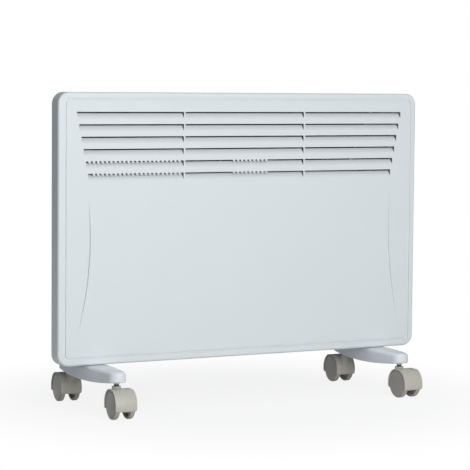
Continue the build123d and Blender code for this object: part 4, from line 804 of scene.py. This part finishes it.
class SetStudio(bpy.types.Operator):
    """Lays the pale floor, hangs the soft lamps and stands the camera where the picture was taken."""

    bl_idname = "heater.set_studio"
    bl_label = "Set studio"

    @staticmethod
    def floor(studio, steps=96, rings=24):
        """A disc in the floor's plane: (r cos a, r sin a, 0), with rings that widen outwards."""
        angle = np.linspace(0, 2 * np.pi, steps, endpoint=False)[None, :]
        out = (np.linspace(0, 1, rings) ** 2 * studio.floor)[:, None]
        points = np.stack([out * np.cos(angle), out * np.sin(angle), 0 * out * angle], axis=-1)
        disc = surface(points, closed_columns=True)
        mesh = merged("studio_floor", *disc, FLOOR_SEAM, outward=False)
        if mesh.polygons[0].normal.z < 0:
            mesh.flip_normals()
        thing = linked("studio_floor", mesh)
        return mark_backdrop(thing) or thing

    @staticmethod
    def paper(studio, least_white=0.86):
        """White studio paper that fades to plain white further out.

        It takes the soft shadow near the heater, where it still gives off the least share of white.
        """
        skin = bpy.data.materials.new("studio_paper")
        tree = empty_tree(skin)
        seen = seen_by(tree, "Is Camera Ray", "Is Glossy Ray", "Is Transmission Ray")
        spot = add(tree, "ShaderNodeTexCoord").outputs["Object"]
        out = add(tree, "ShaderNodeVectorMath", {"operation": "LENGTH"}, {0: spot}).outputs["Value"]
        fade = add(
            tree,
            "ShaderNodeMapRange",
            {"interpolation_type": "SMOOTHSTEP"},
            {
                "Value": out,
                "From Min": studio.shadow,
                "From Max": studio.white,
                "To Min": least_white,
                "To Max": 1.0,
            },
        )
        share = add(
            tree, "ShaderNodeMath", {"operation": "MULTIPLY"}, {0: seen, 1: fade.outputs["Result"]}
        )
        # Paper fibres: 900 bumps to the metre, a fiftieth of a millimetre high.
        fibre = noise(tree, spot, 1000 / 900, 2.0)
        bump = add(tree, "ShaderNodeBump", inputs={"Height": fibre, "Distance": 0.00002})
        paper = add(
            tree,
            "ShaderNodeBsdfDiffuse",
            inputs={"Color": linear("#d2d2d2"), "Normal": bump.outputs["Normal"]},
        )
        white = add(tree, "ShaderNodeEmission", inputs={"Color": (1, 1, 1, 1), "Strength": 1.0})
        mixed = add(
            tree,
            "ShaderNodeMixShader",
            inputs={0: share.outputs[0], 1: paper.outputs["BSDF"], 2: white.outputs["Emission"]},
        )
        add(tree, "ShaderNodeOutputMaterial", inputs={"Surface": mixed.outputs["Shader"]})
        return skin

    @staticmethod
    def sky(strength):
        """Even light from all round, seen as plain white."""
        world = bpy.data.worlds.new("studio_sky")
        bpy.context.scene.world = world
        tree = empty_tree(world)
        seen = seen_by(tree, "Is Camera Ray", "Is Transmission Ray")
        cool = linear("#e4eefa")
        light = add(tree, "ShaderNodeBackground", inputs={"Color": cool, "Strength": strength})
        white = add(tree, "ShaderNodeBackground", inputs={"Color": (1, 1, 1, 1), "Strength": 1.0})
        mixed = add(
            tree,
            "ShaderNodeMixShader",
            inputs={0: seen, 1: light.outputs["Background"], 2: white.outputs["Background"]},
        )
        add(tree, "ShaderNodeOutputWorld", inputs={"Surface": mixed.outputs["Shader"]})

    @staticmethod
    def lamp(name, power, size, place, aim):
        """A square soft box that points from its place to its aim."""
        light = bpy.data.lights.new(name, "AREA")
        light.energy = power
        light.size = size
        thing = linked(name, light)
        thing.location = place
        thing.rotation_euler = (Vector(aim) - Vector(place)).to_track_quat("-Z", "Y").to_euler()

    @staticmethod
    def camera(studio):
        """A camera whose back axis is (sin a cos e, -cos a cos e, sin e), rolled about it."""
        turn, height, roll = studio.camera_turn
        back = Vector((np.sin(turn) * np.cos(height), -np.cos(turn) * np.cos(height), np.sin(height)))
        level = Vector((np.cos(turn), np.sin(turn), 0))
        upright = back.cross(level)
        right = level * np.cos(roll) + upright * np.sin(roll)
        up = upright * np.cos(roll) - level * np.sin(roll)
        lens = bpy.data.cameras.new("studio_camera")
        lens.sensor_fit = "HORIZONTAL"
        lens.sensor_width = 36
        lens.lens = studio.focal
        lens.clip_end = 50
        thing = linked("studio_camera", lens)
        axes = Matrix((right, up, back)).transposed().to_4x4()
        thing.matrix_world = Matrix.Translation(studio.camera_at) @ axes
        bpy.context.scene.camera = thing

    def execute(self, context):
        studio = context.scene.heater_studio
        self.floor(studio).data.materials.append(self.paper(studio))
        self.sky(studio.sky)
        self.lamp("key_lamp", studio.key, studio.key_size, studio.key_at, studio.key_aim)
        self.lamp("top_lamp", studio.top, studio.top_size, studio.top_at, studio.top_aim)
        self.camera(studio)
        context.scene.view_settings.view_transform = "Standard"
        return {"FINISHED"}


# ---------------------------------------------------------------- panel and registration
OPERATORS = (
    CoatCasing,
    FinishFeet,
    BuildHoods,
    BuildWheels,
    FinishPins,
    BuildDial,
    FinishControls,
    FinishInside,
    SetStudio,
)


class HeaterPanel(bpy.types.Panel):
    """Lists the steps that dress the heater."""

    bl_idname = "HEATER_PT_steps"
    bl_label = "Panel convector heater"
    bl_space_type = "VIEW_3D"
    bl_region_type = "UI"
    bl_category = "Heater"

    def draw(self, context):
        for operator in OPERATORS:
            self.layout.operator(operator.bl_idname)


SETTINGS = {
    "heater_finishes": HeaterFinishes,
    "heater_castors": CastorSizes,
    "heater_dial": DialSizes,
    "heater_studio": StudioSettings,
}


def register():
    for kind in (*SETTINGS.values(), *OPERATORS, HeaterPanel):
        bpy.utils.register_class(kind)
    for name, group in SETTINGS.items():
        setattr(bpy.types.Scene, name, bpy.props.PointerProperty(type=group))


def unregister():
    for name in SETTINGS:
        delattr(bpy.types.Scene, name)
    for kind in (HeaterPanel, *reversed(OPERATORS), *reversed(SETTINGS.values())):
        bpy.utils.unregister_class(kind)


def main():
    register()
    for operator in OPERATORS:
        group, step = operator.bl_idname.split(".")
        getattr(getattr(bpy.ops, group), step)()


if __name__ == "__main__":
    main()
